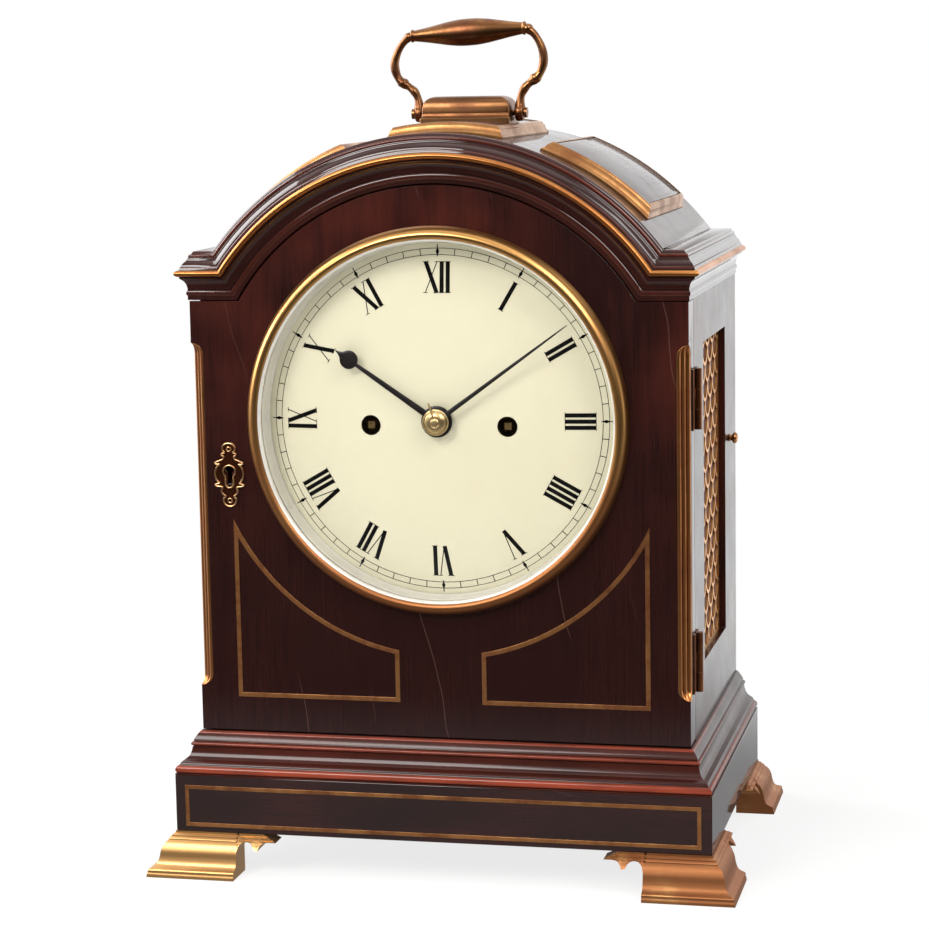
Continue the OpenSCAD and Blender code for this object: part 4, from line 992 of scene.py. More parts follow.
@dataclass
class Plinth:
    """The foot of the case: four brass feet, the plain plinth, its brass line and moulding."""

    at: Places
    wall: float = 9.0
    leg: float = 38.0
    wing: float = 23.0
    ledge: float = 0.62

    def moulding_profile(self) -> tuple[Array, Array]:
        """Closed profile (out, up) of the moulding: beads, hollows and the square back.

        Returns:
            Its points and how far each is painted bright as highlight and wear.
        """
        out = self.at.plinth_out
        high = self.at.body_z - self.at.plinth_top
        # The beads are painted bright: painted highlight together with wear.
        return outline(
            ([(out, 0), (out - 0.1, 0.5)], 0.15),
            ([(out - 0.9, 0.75), (out - 1.0, 1.05)], 0.0),
            ([(out - 0.65, 1.2), (out - 0.2, 2.1), (out - 0.22, 3.3), (out - 0.75, 4.3),
              (out - 1.5, 4.9)], 0.95),
            ([(out - 2.2, 5.0), (out - 2.4, 5.35)], 0.0),
            ([(11.2, 5.6), (10.2, 6.9), (8.4, 8.0), (6.9, 9.4), (5.9, 11.3), (5.3, 13.4),
              (5.05, 14.9)], 0.10),
            ([(4.6, 15.0), (4.5, 15.3)], 0.0),
            ([(4.8, 15.5), (5.55, 15.9), (5.8, 16.7), (5.4, 17.4), (4.7, 17.8)], 0.60),
            ([(4.3, 17.9), (4.2, 18.2)], 0.0),
            ([(4.5, 18.4), (4.0, 19.6), (3.1, 21.0), (2.2, 22.2)], 0.12),
            ([(2.0, 22.4), (1.5, 23.1), (0.8, 23.6)], 0.75),
            ([(0.5, 23.7), (0.5, high)], 0.0),
            ([(-self.wall, high), (-self.wall, 0)], 0.0),
        )

    def three_sides(self, profile: Array, z: float) -> Array:
        """Carries a profile round the left side, the front and the right side with mitres.

        Args:
            profile: points of (out, up).
            z: height of the profile's foot.

        Returns:
            A grid: out is added to X on the sides and to Y in front, both at a mitre.
        """
        w, front, back = self.at.half_w, self.at.front, self.at.back
        stations = np.array([(-w, back, -1, 0), (-w, front, -1, -1), (w, front, 1, -1),
                             (w, back, 1, 0)], float)
        out, up = profile[:, 0], profile[:, 1]
        x = stations[:, :1] + stations[:, 2:3] * out
        y = stations[:, 1:2] + stations[:, 3:4] * out
        return joined(x, y, z + up)

    def rear_rail(self, reach: float) -> Array:
        """The square rail behind, between the ends of the moulding, as a grid along X.

        Args:
            reach: how far it runs to each side.

        Returns:
            A grid to wrap in v.
        """
        low, high = node_box("back_frame")
        y = np.array([low[1], high[1], high[1], low[1]])
        z = np.repeat([self.at.plinth_top, self.at.body_z], 2)
        return np.stack([joined(x, y, z) for x in (-reach, reach)])

    def ogee(self, z: Array) -> Array:
        """How far the foot stands out from the plinth at a height, by its ogee outline.

        Args:
            z: heights over the table.

        Returns:
            The distance out at each height.
        """
        shape = np.vstack([run([(1, 0), (0.985, 0.08)]), run([(0.955, 0.10), (0.955, 0.165)]),
                           run([(0.93, 0.185), (0.74, 0.235), (0.64, 0.30), (0.57, 0.43),
                                (0.52, 0.585), (0.42, 0.72), (0.30, 0.80)]),
                           run([(0.26, 0.81), (0.26, 0.855)]), run([(0.16, 0.875), (0.16, 0.92)]),
                           run([(0.03, 0.945), (0.03, 1)])])
        return self.at.foot_out * np.interp(z / self.at.foot_top, shape[:, 1], shape[:, 0])

    def scallops(self) -> tuple[Array, Array, Array]:
        """Stations along the tip of a wing with its lower and upper edge at each.

        Returns:
            Places along the wing and, at each, the lower and the upper edge: the lower edge rises
            over two scallops to the pointed tip.
        """
        high, step = self.at.foot_top, self.at.foot_top * self.ledge
        big_r, small_r, second_at = 5.2, 5.25, 17.5
        point_long, point_drop = 8.2, 4.1
        first = np.linspace(0, 10.2, 15)
        second = np.linspace(12.3, second_at, 8)
        last = np.linspace(17.6, self.wing - 0.2, 8)
        along = np.concatenate([[-1], first, second, last])
        low = np.concatenate([
            [step], step + np.sqrt(np.clip(big_r**2 - (first - big_r) ** 2, 0, None)),
            step + np.sqrt(np.clip(small_r**2 - (second - second_at) ** 2, 0, None)),
            np.full(len(last), step + 5.4)])
        slope = high - np.clip((along - self.wing) / point_long + 1, 0, 1) * point_drop
        return self.leg + along, low, np.maximum(slope, low + 0.1)

    def wing_part(self, along: Array, low: Array, top: Array) -> Array:
        """Carries the ogee along a wing; each section runs from its lower to its upper edge.

        Args:
            along: places along the wing from the plinth's corner.
            low: height of the lower edge at each.
            top: height of the upper edge at each.

        Returns:
            A grid of (along, in, up) to wrap in v; a place of 0 is the mitre, where along is in.
        """
        z = low[:, None] + (top - low)[:, None] * np.linspace(0, 1, 44)
        depth = np.hstack([-self.ogee(z), np.full((len(along), 2), self.wall)])
        height = np.hstack([z, z[:, -1:], z[:, :1]])
        place = np.where(along[:, None] == 0, depth, along[:, None])
        return joined(place, depth, height)

    def feet(self) -> None:
        """Each foot is two wings at a right angle: a leg mitred at the corner and a tip."""
        leg = self.wing_part(np.array([0, self.wall, self.leg]), np.zeros(3),
                             np.full(3, self.at.foot_top))
        tip = self.wing_part(*self.scallops())
        shell = Shell()
        corner_x = self.at.half_w + self.at.plinth_out
        for side in (-1, 1):
            for y, turn in ((self.at.front - self.at.plinth_out, 1), (self.at.back, -1)):
                for first, second in ((0, 1), (1, 0)):
                    for part in (leg, tip):
                        grid = joined(side * (corner_x - part[..., first]),
                                      y + turn * part[..., second], part[..., 2])
                        shell.grid(grid, wrap_v=True).cap(grid[-1])
                        if part is tip:
                            shell.cap(grid[0])
        shell.piece("bracket_feet", "feet", Metal.FOOT, 28.0)

    def build(self) -> None:
        """Builds and dresses the plinth's pieces."""
        self.feet()
        softened("plinth", Wood.PLINTH, 0.5)
        softened("plinth_stringing", Metal.LINE, 0.12)
        profile, highlight_and_wear = self.moulding_profile()
        shell = Shell().tube(self.three_sides(profile, self.at.plinth_top), highlight_and_wear)
        shell.tube(self.rear_rail(self.at.half_w - self.wall))
        shell.piece("plinth_moulding", "base_moulding", Wood.FRONT, 50.0)


@dataclass
class Cornice:
    """The cornice with its brass half-round: arched over the dial, straight over the sides."""

    at: Places
    steps: int = 96
    thick: float = 12.0
    ledge: float = 4.0
    lip: float = 17.9

    def stations(self, profile: Array, arched: Array) -> Array:
        """Carries a profile (out, up) along the left side, over the arch and down the right.

        Args:
            profile: the profile on the straight runs.
            arched: the same profile on the arch, where its back may differ.

        Returns:
            A grid: on the straight runs out is added to X or Y; on the arch a point turns about
            the dial's centre at the arch's radius plus up, as far as the mitre.
        """
        w, front, back = self.at.half_w, self.at.front, self.at.back
        rise = self.at.shoulder_z - self.at.dial_z
        out, up = profile[:, 0], profile[:, 1]
        z = self.at.shoulder_z + up
        radius = self.at.arch_r + arched[:, 1]
        end = np.arccos(np.clip((rise + arched[:, 1]) / radius, -1, 1))
        turn = np.linspace(-1, 1, self.steps)[:, None] * end
        arch = joined(radius * np.sin(turn), front - arched[:, 0],
                      self.at.dial_z + radius * np.cos(turn))
        foot_radius = self.at.arch_r + up
        foot_x = np.sqrt(foot_radius**2 - (rise + up) ** 2)
        mitre = joined(foot_x, front - out, z)
        corner = joined(w + out, front - out, z)
        end_back = joined(w + out, back, z)
        flip = np.array([-1.0, 1.0, 1.0])
        left = np.stack([end_back * flip, corner * flip, mitre * flip])
        right = np.stack([mitre, corner, end_back])
        return np.concatenate([left, arch, right])

    def wood_profile(self) -> tuple[Array, Array, Array]:
        """The wooden profile for the straight runs and for the arch, with its painted highlight and
        wear.

        Returns:
            The straight profile, the arched one and how far each point is painted bright as
            highlight and wear.
        """
        high = self.at.cornice_h
        # The beads are painted bright: painted highlight together with wear.
        face = [
            ([(0.6, 0), (0.6, 2.4)], 0.05),
            ([(0.9, 2.6), (1.25, 3.4), (1.2, 4.6), (0.8, 5.4)], 0.12),
            ([(0.55, 5.6), (0.55, 6.1)], 0.0),
            ([(0.6, 6.3), (0.9, 8.0), (1.5, 9.6), (2.4, 10.9), (3.6, 11.9), (4.2, 12.4)], 0.04),
            ([(4.2, 12.6), (4.2, 17.8)], 0.0),
            ([(4.0, 18.0), (3.9, 18.7)], 0.25),
            ([(3.4, 19.0), (2.9, 20.1), (2.0, 21.2), (1.0, 22.2), (0.5, 23.2)], 0.06),
            ([(0.1, 23.6), (0.1, 24.0)], 0.0),
            ([(-0.3, 24.1), (-0.1, 24.9), (-0.6, 25.6), (-1.1, 25.8)], 0.30),
            ([(-1.5, 25.9), (-1.5, 26.2)], 0.0),
            ([(-1.7, 26.3), (-2.1, 26.9), (-2.6, high - 0.1)], 0.12),
        ]
        points, highlight_and_wear = outline(*face)
        straight = [(-self.thick, high), (-self.thick, self.lip), (-self.thick, self.lip - 0.1),
                    (-self.thick, 0)]
        arch = [(-self.ledge, high), (-self.ledge, self.lip), (-self.thick, self.lip),
                (-self.thick, 0)]
        highlight_and_wear = np.concatenate([highlight_and_wear, np.zeros(4)])
        return np.vstack([points, straight]), np.vstack([points, arch]), highlight_and_wear

    def half_round(self) -> Array:
        """Closed profile of the brass half-round, proud of the wood behind it."""
        return np.vstack([run([(4.0, 13.2), (5.0, 13.4), (6.2, 14.1), (6.75, 15.2), (6.2, 16.3),
                               (5.0, 17.0), (4.0, 17.2)]), [(3.6, 17.1), (3.6, 13.3)]])

    def build(self) -> None:
        """Builds the wooden cornice and its brass."""
        straight, arch, highlight_and_wear = self.wood_profile()
        Shell().tube(self.stations(straight, arch), highlight_and_wear).piece(
            "cornice_moulding", "cornice", Wood.ARCH, 50.0)
        band = self.half_round()
        Shell().tube(self.stations(band, band)).piece(
            "cornice_half_round", "cornice_band", Metal.BAND)


@dataclass
class Roof:
    """The roof boards with three raised pads, each in a brass moulding."""

    at: Places
    roof_r: float = 160.0
    rim: float = 6.0
    rise: float = 6.4
    pads: tuple[tuple[float, float], ...] = ((-33.2, 13.0), (0.0, 12.2), (33.2, 13.0))
    ends: tuple[float, float] = (-61.25, 72.75)
    steps: int = 24

    def frame_path(self, middle: float, half: float, inset: Array) -> Array:
        """Angles and places of a closed path round a pad for each inset.

        Args:
            middle: the pad's middle angle in degrees.
            half: half of its angle in degrees.
            inset: how far each profile point lies inside the edge.

        Returns:
            An array (stations, profile points, 2) of angle in radians and Y.
        """
        reach = math.radians(half) - inset / self.roof_r
        side = np.linspace(-1, 1, self.steps)[:, None]
        path = np.concatenate([
            joined(-way * side * reach, end - way * inset)
            for way, end in zip((-1, 1), self.ends)])
        path[..., 0] += math.radians(middle)
        return path

    def lay(self, path: Array, up: Array) -> Array:
        """Lays a path of (angle, Y) on the roof at heights over its curve."""
        radius = self.roof_r + up
        return joined(radius * np.sin(path[..., 0]), path[..., 1],
                      self.at.dial_z + radius * np.cos(path[..., 0]))

    def pad_mouldings(self) -> None:
        """A stepped moulding round each pad: two fillets with a hollow between them."""
        profile = np.vstack([[(0, 0.05)], run([(0, 0.9), (0.3, 1.3)]),
                             run([(0.6, 1.5), (1.5, 2.2), (2.2, 3.4), (2.7, 4.6)]),
                             run([(3.1, 4.8), (3.5, 5.0)]),
                             run([(3.8, 5.6), (4.4, 6.2), (5.2, 6.4)]),
                             [(self.rim - 0.1, self.rise), (self.rim - 0.1, 0.05)]])
        shell = Shell()
        for middle, half in self.pads:
            path = self.frame_path(middle, half, profile[:, 0])
            shell.grid(self.lay(path, profile[:, 1]), wrap_u=True, wrap_v=True)
        shell.piece("pad_brasses", "pad_mouldings", Metal.PAD, 30.0)

    def pad_tops(self) -> None:
        """Each pad is a sheet bent to the roof's curve with eased edges and square sides."""
        shell = Shell()
        inset = np.array([self.rim + 0.1, self.rim + 0.1, self.rim + 0.4, self.rim + 1.0])
        up = np.array([0.05, self.rise - 0.9, self.rise - 0.35, self.rise - 0.25])
        across = np.linspace(-1, 1, self.steps)
        for middle, half in self.pads:
            rims = self.lay(self.frame_path(middle, half, inset), up)
            shell.grid(rims, wrap_u=True)
            for column, height in ((0, up[0]), (-1, up[-1])):
                reach = math.radians(half) - inset[column] / self.roof_r
                turn = (math.radians(middle) + across * reach)[:, None]
                y = np.array([self.ends[0] + inset[column], self.ends[1] - inset[column]])
                shell.grid(self.lay(joined(turn, y), np.array([height, height])))
        shell.piece("pad_panels", "roof_pads", Wood.ROOF)

    def build(self) -> None:
        """Builds the roof's pieces."""
        softened("roof_shell", Wood.ROOF, 0.5, 30.0, convex=True)
        self.pad_tops()
        self.pad_mouldings()


@dataclass
class Sides:
    """The side boards with their frets, the silk behind, and the repeat knob."""

    at: Places

    def knob(self) -> None:
        """The pull knob: a waisted button on its rod, turned about X."""
        low, high = node_box("repeat_knob")
        rod_r = 1.3
        profile = np.vstack([[(0, low[0]), (rod_r, low[0]), (rod_r, low[0] + 3)],
                             run([(rod_r, self.at.half_w), (2.4, self.at.half_w + 0.3)]),
                             run([(2.4, self.at.half_w + 0.5), (1.7, self.at.half_w + 1.4),
                                  (2.0, self.at.half_w + 2.0), (3.2, self.at.half_w + 2.8),
                                  (3.4, self.at.half_w + 3.6), (2.8, high[0] - 0.6),
                                  (1.4, high[0] - 0.1), (0, high[0])])])
        centre = (0, (low[1] + high[1]) / 2, (low[2] + high[2]) / 2)
        Shell().turn(profile, centre, 0, 40).piece(
            "pull_button", "repeat_knob", Metal.MOUNT)

    def build(self) -> None:
        """Builds the sides."""
        for node, width in (("side_left", 0.5), ("side_right", 0.5), ("back_frame", 0.4)):
            softened(node, Wood.SIDE, width)
        coat_node("front_frame", Wood.INSIDE)
        softened("side_frets", Metal.FRET, 0.3)
        coat_node("fret_silks", Metal.SILK)
        self.knob()


@dataclass
class FrontDoor:
    """The front door with its lines, reeded corners, bezel, glass, lock and hinges."""

    at: Places
    view_r: float = 101.5
    hole_r: float = 105.0
    bezel_r: float = 110.0
    lip: float = 1.3
    glass_t: float = 1.6
    cut: float = 7.5
    stop: float = 6.5
    notch_more: tuple[float, float] = (1.0, 2.0)
    reed_r: float = 1.45
    reed_step: float = 3.3
    sheet_t: float = 1.0
    wires: tuple[float, ...] = (0.55, 0.50, 0.45, 0.45)

    def bezel(self) -> None:
        """The bezel: one broad half-round band, turned, with a square rebate behind."""
        r, f, lip = self.bezel_r, self.at.front, self.view_r + self.lip
        # The band is painted a little bright as a highlight.
        profile, highlight_and_wear = outline(
            ([(r, f), (r, f - 1.1)], 0.0),
            ([(r - 0.25, f - 1.7), (r - 1.0, f - 3.9), (r - 2.2, f - 5.8), (r - 3.8, f - 7.05),
              (r - 5.0, f - 7.3), (r - 6.2, f - 6.9), (lip, f - 6.0)], 0.15),
            ([(lip, f - 5.8), (lip, f - 2.0)], 0.0),
            ([(self.view_r + 2.4, f - 1.9), (self.view_r + 2.4, f + 4)], 0.0),
            ([(self.hole_r - 0.2, f + 4), (self.hole_r - 0.2, f)], 0.0),
        )
        Shell().turn(profile, self.at.dial, 1, 224, closed=True, highlight_and_wear=highlight_and_wear).piece(
            "dial_bezel", "bezel", Metal.BEZEL, 40.0)

    def glass(self) -> None:
        """The domed glass: two spherical caps a glass's thickness apart, joined at the rim."""
        low, high = node_box("door_glass")
        half = (high[0] - low[0]) / 2
        r = np.linspace(0, half, 26)
        rise = high[1] - low[1] - self.glass_t - 0.4
        big = (half**2 + rise**2) / (2 * rise)
        sag = np.sqrt(big**2 - r**2) - (big - rise)
        edge = high[1] - self.glass_t
        profile = np.vstack([joined(r, edge - sag), joined(r, edge + self.glass_t - sag)[::-1]])
        Shell().turn(profile, self.at.dial, 1, 160).piece(
            "convex_glass", "door_glass", Metal.GLASS)

    def sight_ring(self) -> None:
        """The silvered sight ring: a sloping lip in front of the glass's edge and a cone behind
        the glass that closes on the dial."""
        v, front = self.view_r, self.at.front
        dial_edge = node_box("dial")[0][1] + self.at.dial_rise
        # The lip and the cone are painted bright as a highlight.
        lip = [
            ([(v + self.lip - 0.05, front - 2.0), (v + self.lip - 0.05, front - 5.9)], 0.0),
            ([(v + 1.1, front - 5.8), (v + 0.4, front - 4.9), (v, front - 4.0)], 0.4),
            ([(v, front - 3.9), (v, front - 2.2)], 0.0),
        ]
        cone = [
            ([(v + 0.1, front - 0.9), (v + 0.1, front + 0.3)], 0.0),
            ([(v, front + 0.4), (v - 0.6, dial_edge - 3.4), (v - 1.2, dial_edge - 1.4)], 0.5),
            ([(v - 1.1, dial_edge - 1.2), (v + 2.2, dial_edge - 1.2)], 0.0),
            ([(v + 2.2, dial_edge - 1.4), (v + 2.2, front + 1.0)], 0.0),
        ]
        shell = Shell()
        for part in (lip, cone):
            profile, highlight_and_wear = outline(*part)
            shell.turn(profile, self.at.dial, 1, 200, closed=True, highlight_and_wear=highlight_and_wear)
        shell.piece("sight_ring", "bezel", Metal.SILVER, extra=True)

    def depth(self, z: Array, low: float, high: float) -> Array:
        """How deep the corner is cut at a height: full, then down to nothing at each end by a
        quarter of an ellipse."""
        near = np.clip(np.minimum(z - low, high - z) / self.stop, 0, 1)
        return self.cut * np.sqrt(np.clip(1 - (1 - near) ** 2, 0, 1))

    def rise(self, steps: int) -> Array:
        """Heights over an end of the cut corner, closer together towards the end."""
        return self.stop * (1 - np.cos(np.linspace(0, np.pi / 2, steps)))

    def chamfer_stops(self) -> None:
        """The wood at the ends of each cut corner: a solid between the full cut and the
        shallower one at each height."""
        low, high = node_box("corner_reeds")
        rise = self.rise(12)
        shell = Shell()
        w, f = self.at.half_w, self.at.front
        below, above = self.notch_more
        for z in (np.append(low[2] - below, low[2] + rise),
                  np.append(high[2] + above, high[2] - rise)):
            cut = np.maximum(self.depth(z, low[2], high[2]), 0.02)
            full, none = np.full(len(z), self.cut - 0.01), np.zeros(len(z))
            x = w - np.stack([full, cut, none, none], 1)
            y = f + np.stack([none, none, cut, full], 1)
            for side in (-1, 1):
                grid = joined(side * x, y, z[:, None])
                shell.grid(grid, wrap_v=True).cap(grid[0])
        shell.piece("chamfer_stops", "door_frame", Wood.DOOR, extra=True)

    def reeds(self) -> None:
        """Three half-round reeds on each cut corner, drawn in to a point at its ends."""
        low, high = node_box("corner_reeds")
        rise = self.rise(16)
        z = np.concatenate([low[2] + rise, (high[2] - rise)[::-1]])
        size = np.maximum(self.depth(z, low[2], high[2]) / self.cut, 0.03)
        turn = np.linspace(-np.pi / 2, np.pi / 2, 11)
        reed = joined(self.reed_r * np.sin(turn), 0.9 * self.reed_r * np.cos(turn) - 0.1)
        gap = np.array([[self.reed_step / 2, -0.15]])
        edge = self.cut * math.sqrt(0.5)
        row = np.vstack([[(-edge, -0.1)], reed - (self.reed_step, 0), -gap * (1, -1), reed, gap,
                         reed + (self.reed_step, 0), [(edge, -0.1), (edge, -0.7), (-edge, -0.7)]])
        along, out = row[:, 0] * math.sqrt(0.5), row[:, 1] * math.sqrt(0.5)
        grow, slim = size[:, None], np.minimum(size, 1.0)[:, None] ** 0.5
        middle = self.cut / 2 * grow
        shell = Shell()
        for side in (-1, 1):
            x = self.at.half_w - middle + along * grow + out * slim
            y = self.at.front + middle + along * grow - out * slim
            shell.tube(joined(side * x, y, z[:, None]))
        shell.piece("reeded_corners", "corner_reeds", Metal.REED)

    def keyhole_loops(self) -> list[Array]:
        """The keyhole plate's rim, its keyhole and its two eyes. The rim runs down from a ring
        over a neck and a round body between two pairs of curls to a lower ring.

        Returns:
            The loops (n, 2) in X and Z, the rim first.
        """
        low, high = node_box("escutcheon")
        x, bottom, height = (low[0] + high[0]) / 2, low[2], high[2] - low[2]
        half = (high[0] - low[0]) / 2
        right = run([(0, 1.0), (0.26, 0.985), (0.42, 0.94), (0.44, 0.90), (0.36, 0.865),
                     (0.30, 0.85), (0.44, 0.835), (0.50, 0.81), (0.40, 0.795), (0.36, 0.775),
                     (0.42, 0.745), (0.62, 0.725), (0.98, 0.685), (0.84, 0.665), (0.66, 0.665),
                     (0.84, 0.625), (0.97, 0.55), (0.97, 0.48), (0.87, 0.41), (0.70, 0.365),
                     (0.82, 0.355), (1.0, 0.335), (0.86, 0.315), (0.60, 0.31), (0.50, 0.29),
                     (0.57, 0.245), (0.50, 0.20), (0.34, 0.17), (0.30, 0.155), (0.42, 0.12),
                     (0.43, 0.085), (0.35, 0.035), (0.18, 0.006), (0, 0)], 4)
        side = joined(x + right[:, 0] * half, bottom + right[:, 1] * height)
        mirrored = joined(2 * x - side[1:-1, 0], side[1:-1, 1])[::-1]
        rim = np.vstack([side, mirrored])
        bow_r, slot_r, eye_r = 3.6, 2.4, 1.2
        hole = np.vstack([
            arc(x, bottom + 0.55 * height, bow_r, np.linspace(-2.4, 2.4, 30)),
            arc(x, bottom + 0.36 * height, slot_r, np.linspace(np.pi / 2, 3 * np.pi / 2, 16))])
        return [rim, hole] + [circle(x, bottom + up * height, eye_r, 20) for up in (0.905, 0.09)]

    def keyhole_plate(self) -> None:
        """The keyhole plate, cut from sheet, with a wire run round each edge that is painted bright
        as a highlight.
        """
        rim, *holes = loops = self.keyhole_loops()
        back = self.at.front
        front = back - self.sheet_t
        shell = plate(loops, np.zeros((0, 2)),
                      lambda q: within(rim, q) & ~np.any([within(h, q) for h in holes], axis=0),
                      lambda q: np.full(len(q), front), lambda q: np.full(len(q), back))
        turn = around(10)
        for loop, wire in zip(loops, self.wires):
            path = joined(loop[:, 0], front, loop[:, 1])
            wrapped = np.vstack([path[-1:], path, path[:1]])
            ring = np.broadcast_to(arc(0, 0, wire, turn), (len(wrapped), len(turn), 2))
            # Each wire is painted bright as a highlight.
            shell.grid(swept(wrapped, ring)[1:-1], wrap_u=True, wrap_v=True, highlight_and_wear=1.0)
        shell.piece("keyhole_plate", "escutcheon", Metal.KEYHOLE)

    def build(self) -> None:
        """Builds the door's pieces."""
        softened("door_frame", Wood.DOOR, 0.6, 30.0)
        softened("door_stringing", Metal.LINE, 0.12)
        self.chamfer_stops()
        self.reeds()
        self.bezel()
        self.sight_ring()
        self.glass()
        self.keyhole_plate()
        softened("door_lock", Metal.MOUNT, 0.3)
        coat_node("lock_bolt", Metal.STEEL)
        coat_node("lock_staple", Metal.MOUNT)
        for node in ("door_hinge_leaves", "case_hinge_leaves"):
            softened(node, Metal.HINGE, 0.15)
        coat_node("hinge_pins", Metal.HINGE)


@dataclass
class RearDoor:
    """The glazed rear door with its hinges and turn catch."""

    frame_ease: float = 0.5
    leaf_ease: float = 0.15
    catch_ease: float = 0.3

    def build(self) -> None:
        """Dresses the rear door."""
        softened("rear_door_frame", Wood.SIDE, self.frame_ease)
        coat_node("rear_glass", Metal.GLASS)
        softened("rear_door_leaves", Metal.HINGE, self.leaf_ease)
        softened("rear_catch", Metal.MOUNT, self.catch_ease)


@dataclass
class CarryHandle:
    """The carry handle: a stepped block on the roof, two pins and a bail with a turned grip."""

    at: Places
    slope: float = 0.05
    corner: float = 1.4
    grip_up: float = 47.0
    eye_mid: float = 30.1
    leg: tuple[tuple[float, float, float], ...] = (
        (33.0, 46.9, 2.7), (35.6, 46.2, 2.6), (38.6, 44.0, 2.2), (41.2, 40.6, 2.1),
        (43.3, 36.4, 2.3), (44.6, 31.6, 2.5), (44.4, 26.6, 2.6), (42.6, 22.0, 2.3),
        (39.6, 18.6, 2.9), (36.2, 16.4, 2.2), (33.2, 13.6, 2.6), (31.2, 9.8, 2.2),
        (30.4, 6.0, 2.6), (30.2, 3.0, 3.2), (30.1, 0.0, 3.4))
    knuckles: tuple[tuple[float, float, float], ...] = ((39.8, 19.0, 3.5), (35.2, 46.6, 3.5))

    def block(self) -> None:
        """The block: rectangles with round corners, stacked to a flared base line, a cove,
        upright sides and rounded shoulders."""
        low, high = node_box("handle_block")
        # The base line and its bead are painted bright as a highlight together with wear.
        flare, highlight_and_wear = outline(
            ([(0.8, 3.0, -16.6), (0.8, 3.0, -12.8)], 0.3),
            ([(0.7, 2.7, -12.5), (0.5, 2.0, -12.3)], 1.0),
            ([(0.4, 1.5, -12.2), (0.15, 0.7, -11.4), (0.05, 0.2, -10.3)], 0.0),
            ([(0, 0, -10.0), (0, 0, -9.0), (-0.05, -0.1, -7.5), (-0.3, -0.35, -5.5),
              (-0.9, -1.0, -3.6), (-2.2, -2.2, -1.9), (-4.2, -3.8, -0.7), (-6.6, -5.6, -0.1)], 0.1),
        )
        corner = np.linspace(0, np.pi / 2, 7)
        quarters = [(np.sin(corner + turn), np.cos(corner + turn), sx, sy) for turn, sx, sy in
                    ((0, 1, 1), (np.pi / 2, 1, -1), (np.pi, -1, -1), (3 * np.pi / 2, -1, 1))]
        half_x, half_y = 26.0 + flare[:, :1], 12.5 + flare[:, 1:2]
        x = np.hstack([sx * (half_x - self.corner) + self.corner * c for c, _, sx, _ in quarters])
        y = np.hstack([sy * (half_y - self.corner) + self.corner * c for _, c, _, sy in quarters])
        grid = joined(x, y + (low[1] + high[1]) / 2, high[2] + flare[:, 2:])
        Shell().tube(grid, highlight_and_wear[:, None]).piece(
            "handle_block_piece", "handle_block", Metal.BLOCK)

    def grip(self) -> Array:
        """The grip about X: a long swelling that narrows to a small ring at each end.

        Returns:
            A grid to wrap in u.
        """
        half = run([(0.0, 7.9), (5.5, 7.7), (12.0, 6.9), (19.0, 5.6), (26.0, 4.3), (32.4, 3.3)], 5)
        ring = run([(32.8, 3.6), (33.6, 3.9), (34.4, 3.3), (34.8, 2.2)], 4)
        side = np.vstack([half, ring, [(35.0, 0.0)]])
        full = np.vstack([joined(side[::-1, 1], -side[::-1, 0]), joined(side[1:, 1], side[1:, 0])])
        return turned(full, (0, 0, self.grip_up), 0, 48)

    def knuckle(self, x: float, z: float, radius: float) -> Array:
        """A leaf knuckle on a leg: a ball drawn out a little along the leg.

        Args:
            x: its middle, across.
            z: its middle, over the pivots.
            radius: radius of the ball.

        Returns:
            A grid to wrap in u.
        """
        turn = np.linspace(0, np.pi, 14)
        profile = joined(radius * np.sin(turn) ** 0.8, radius * 0.8 * np.cos(turn))
        return turned(profile, (x, 0, z), 2, 24)

    def bail(self) -> None:
        """The bail, which sags a little to the left: eyes on the pins, legs and the grip."""
        low, high = node_box("handle")
        pins = node_box("handle_pins")
        pivot = np.array([0, (low[1] + high[1]) / 2, (pins[0][2] + pins[1][2]) / 2])
        shell = Shell()
        leg = run(self.leg, 5)
        turn = around(20)
        section = joined(leg[:, 2:] * np.sin(turn), leg[:, 2:] * np.cos(turn) * 1.2)
        path = joined(leg[:, 0], 0, leg[:, 1])
        eye = np.vstack([run([(1.65, -2.4), (3.9, -2.4)]), run([(4.6, -2.0), (4.95, -0.9),
                         (4.95, 0.9), (4.6, 2.0)]), run([(3.9, 2.4), (1.65, 2.4)])])
        for side in (-1, 1):
            flip = np.array([side, 1.0, 1.0])
            shell.tube(self.lean(swept(path, section) * flip) + pivot)
            ring = turned(eye, (self.eye_mid, 0, 0), 0, 40) * flip
            shell.grid(ring + pivot, wrap_u=True, wrap_v=True)
            for x, z, radius in self.knuckles:
                shell.grid(self.lean(self.knuckle(x, z, radius) * flip) + pivot, wrap_u=True)
        shell.grid(self.lean(self.grip()) + pivot, wrap_u=True)
        shell.piece("bail_handle", "handle", Metal.HANDLE, 40.0)

    def lean(self, p: Array) -> Array:
        """Shears points up towards +X in step with their height over the pivots."""
        shift = self.slope * p[..., 0] * np.clip(p[..., 2] / self.grip_up, 0, 1.1)
        return p + joined(0, 0, shift)

    def build(self) -> None:
        """Builds the block, the pins and the bail."""
        self.block()
        coat_node("handle_pins", Metal.HANDLE)
        self.bail()


@dataclass(frozen=True)
class Stroke:
    """One stroke of a numeral: a bar from one end to the other, in a box of its own."""

    start: tuple[float, float]
    end: tuple[float, float]
    wide: float


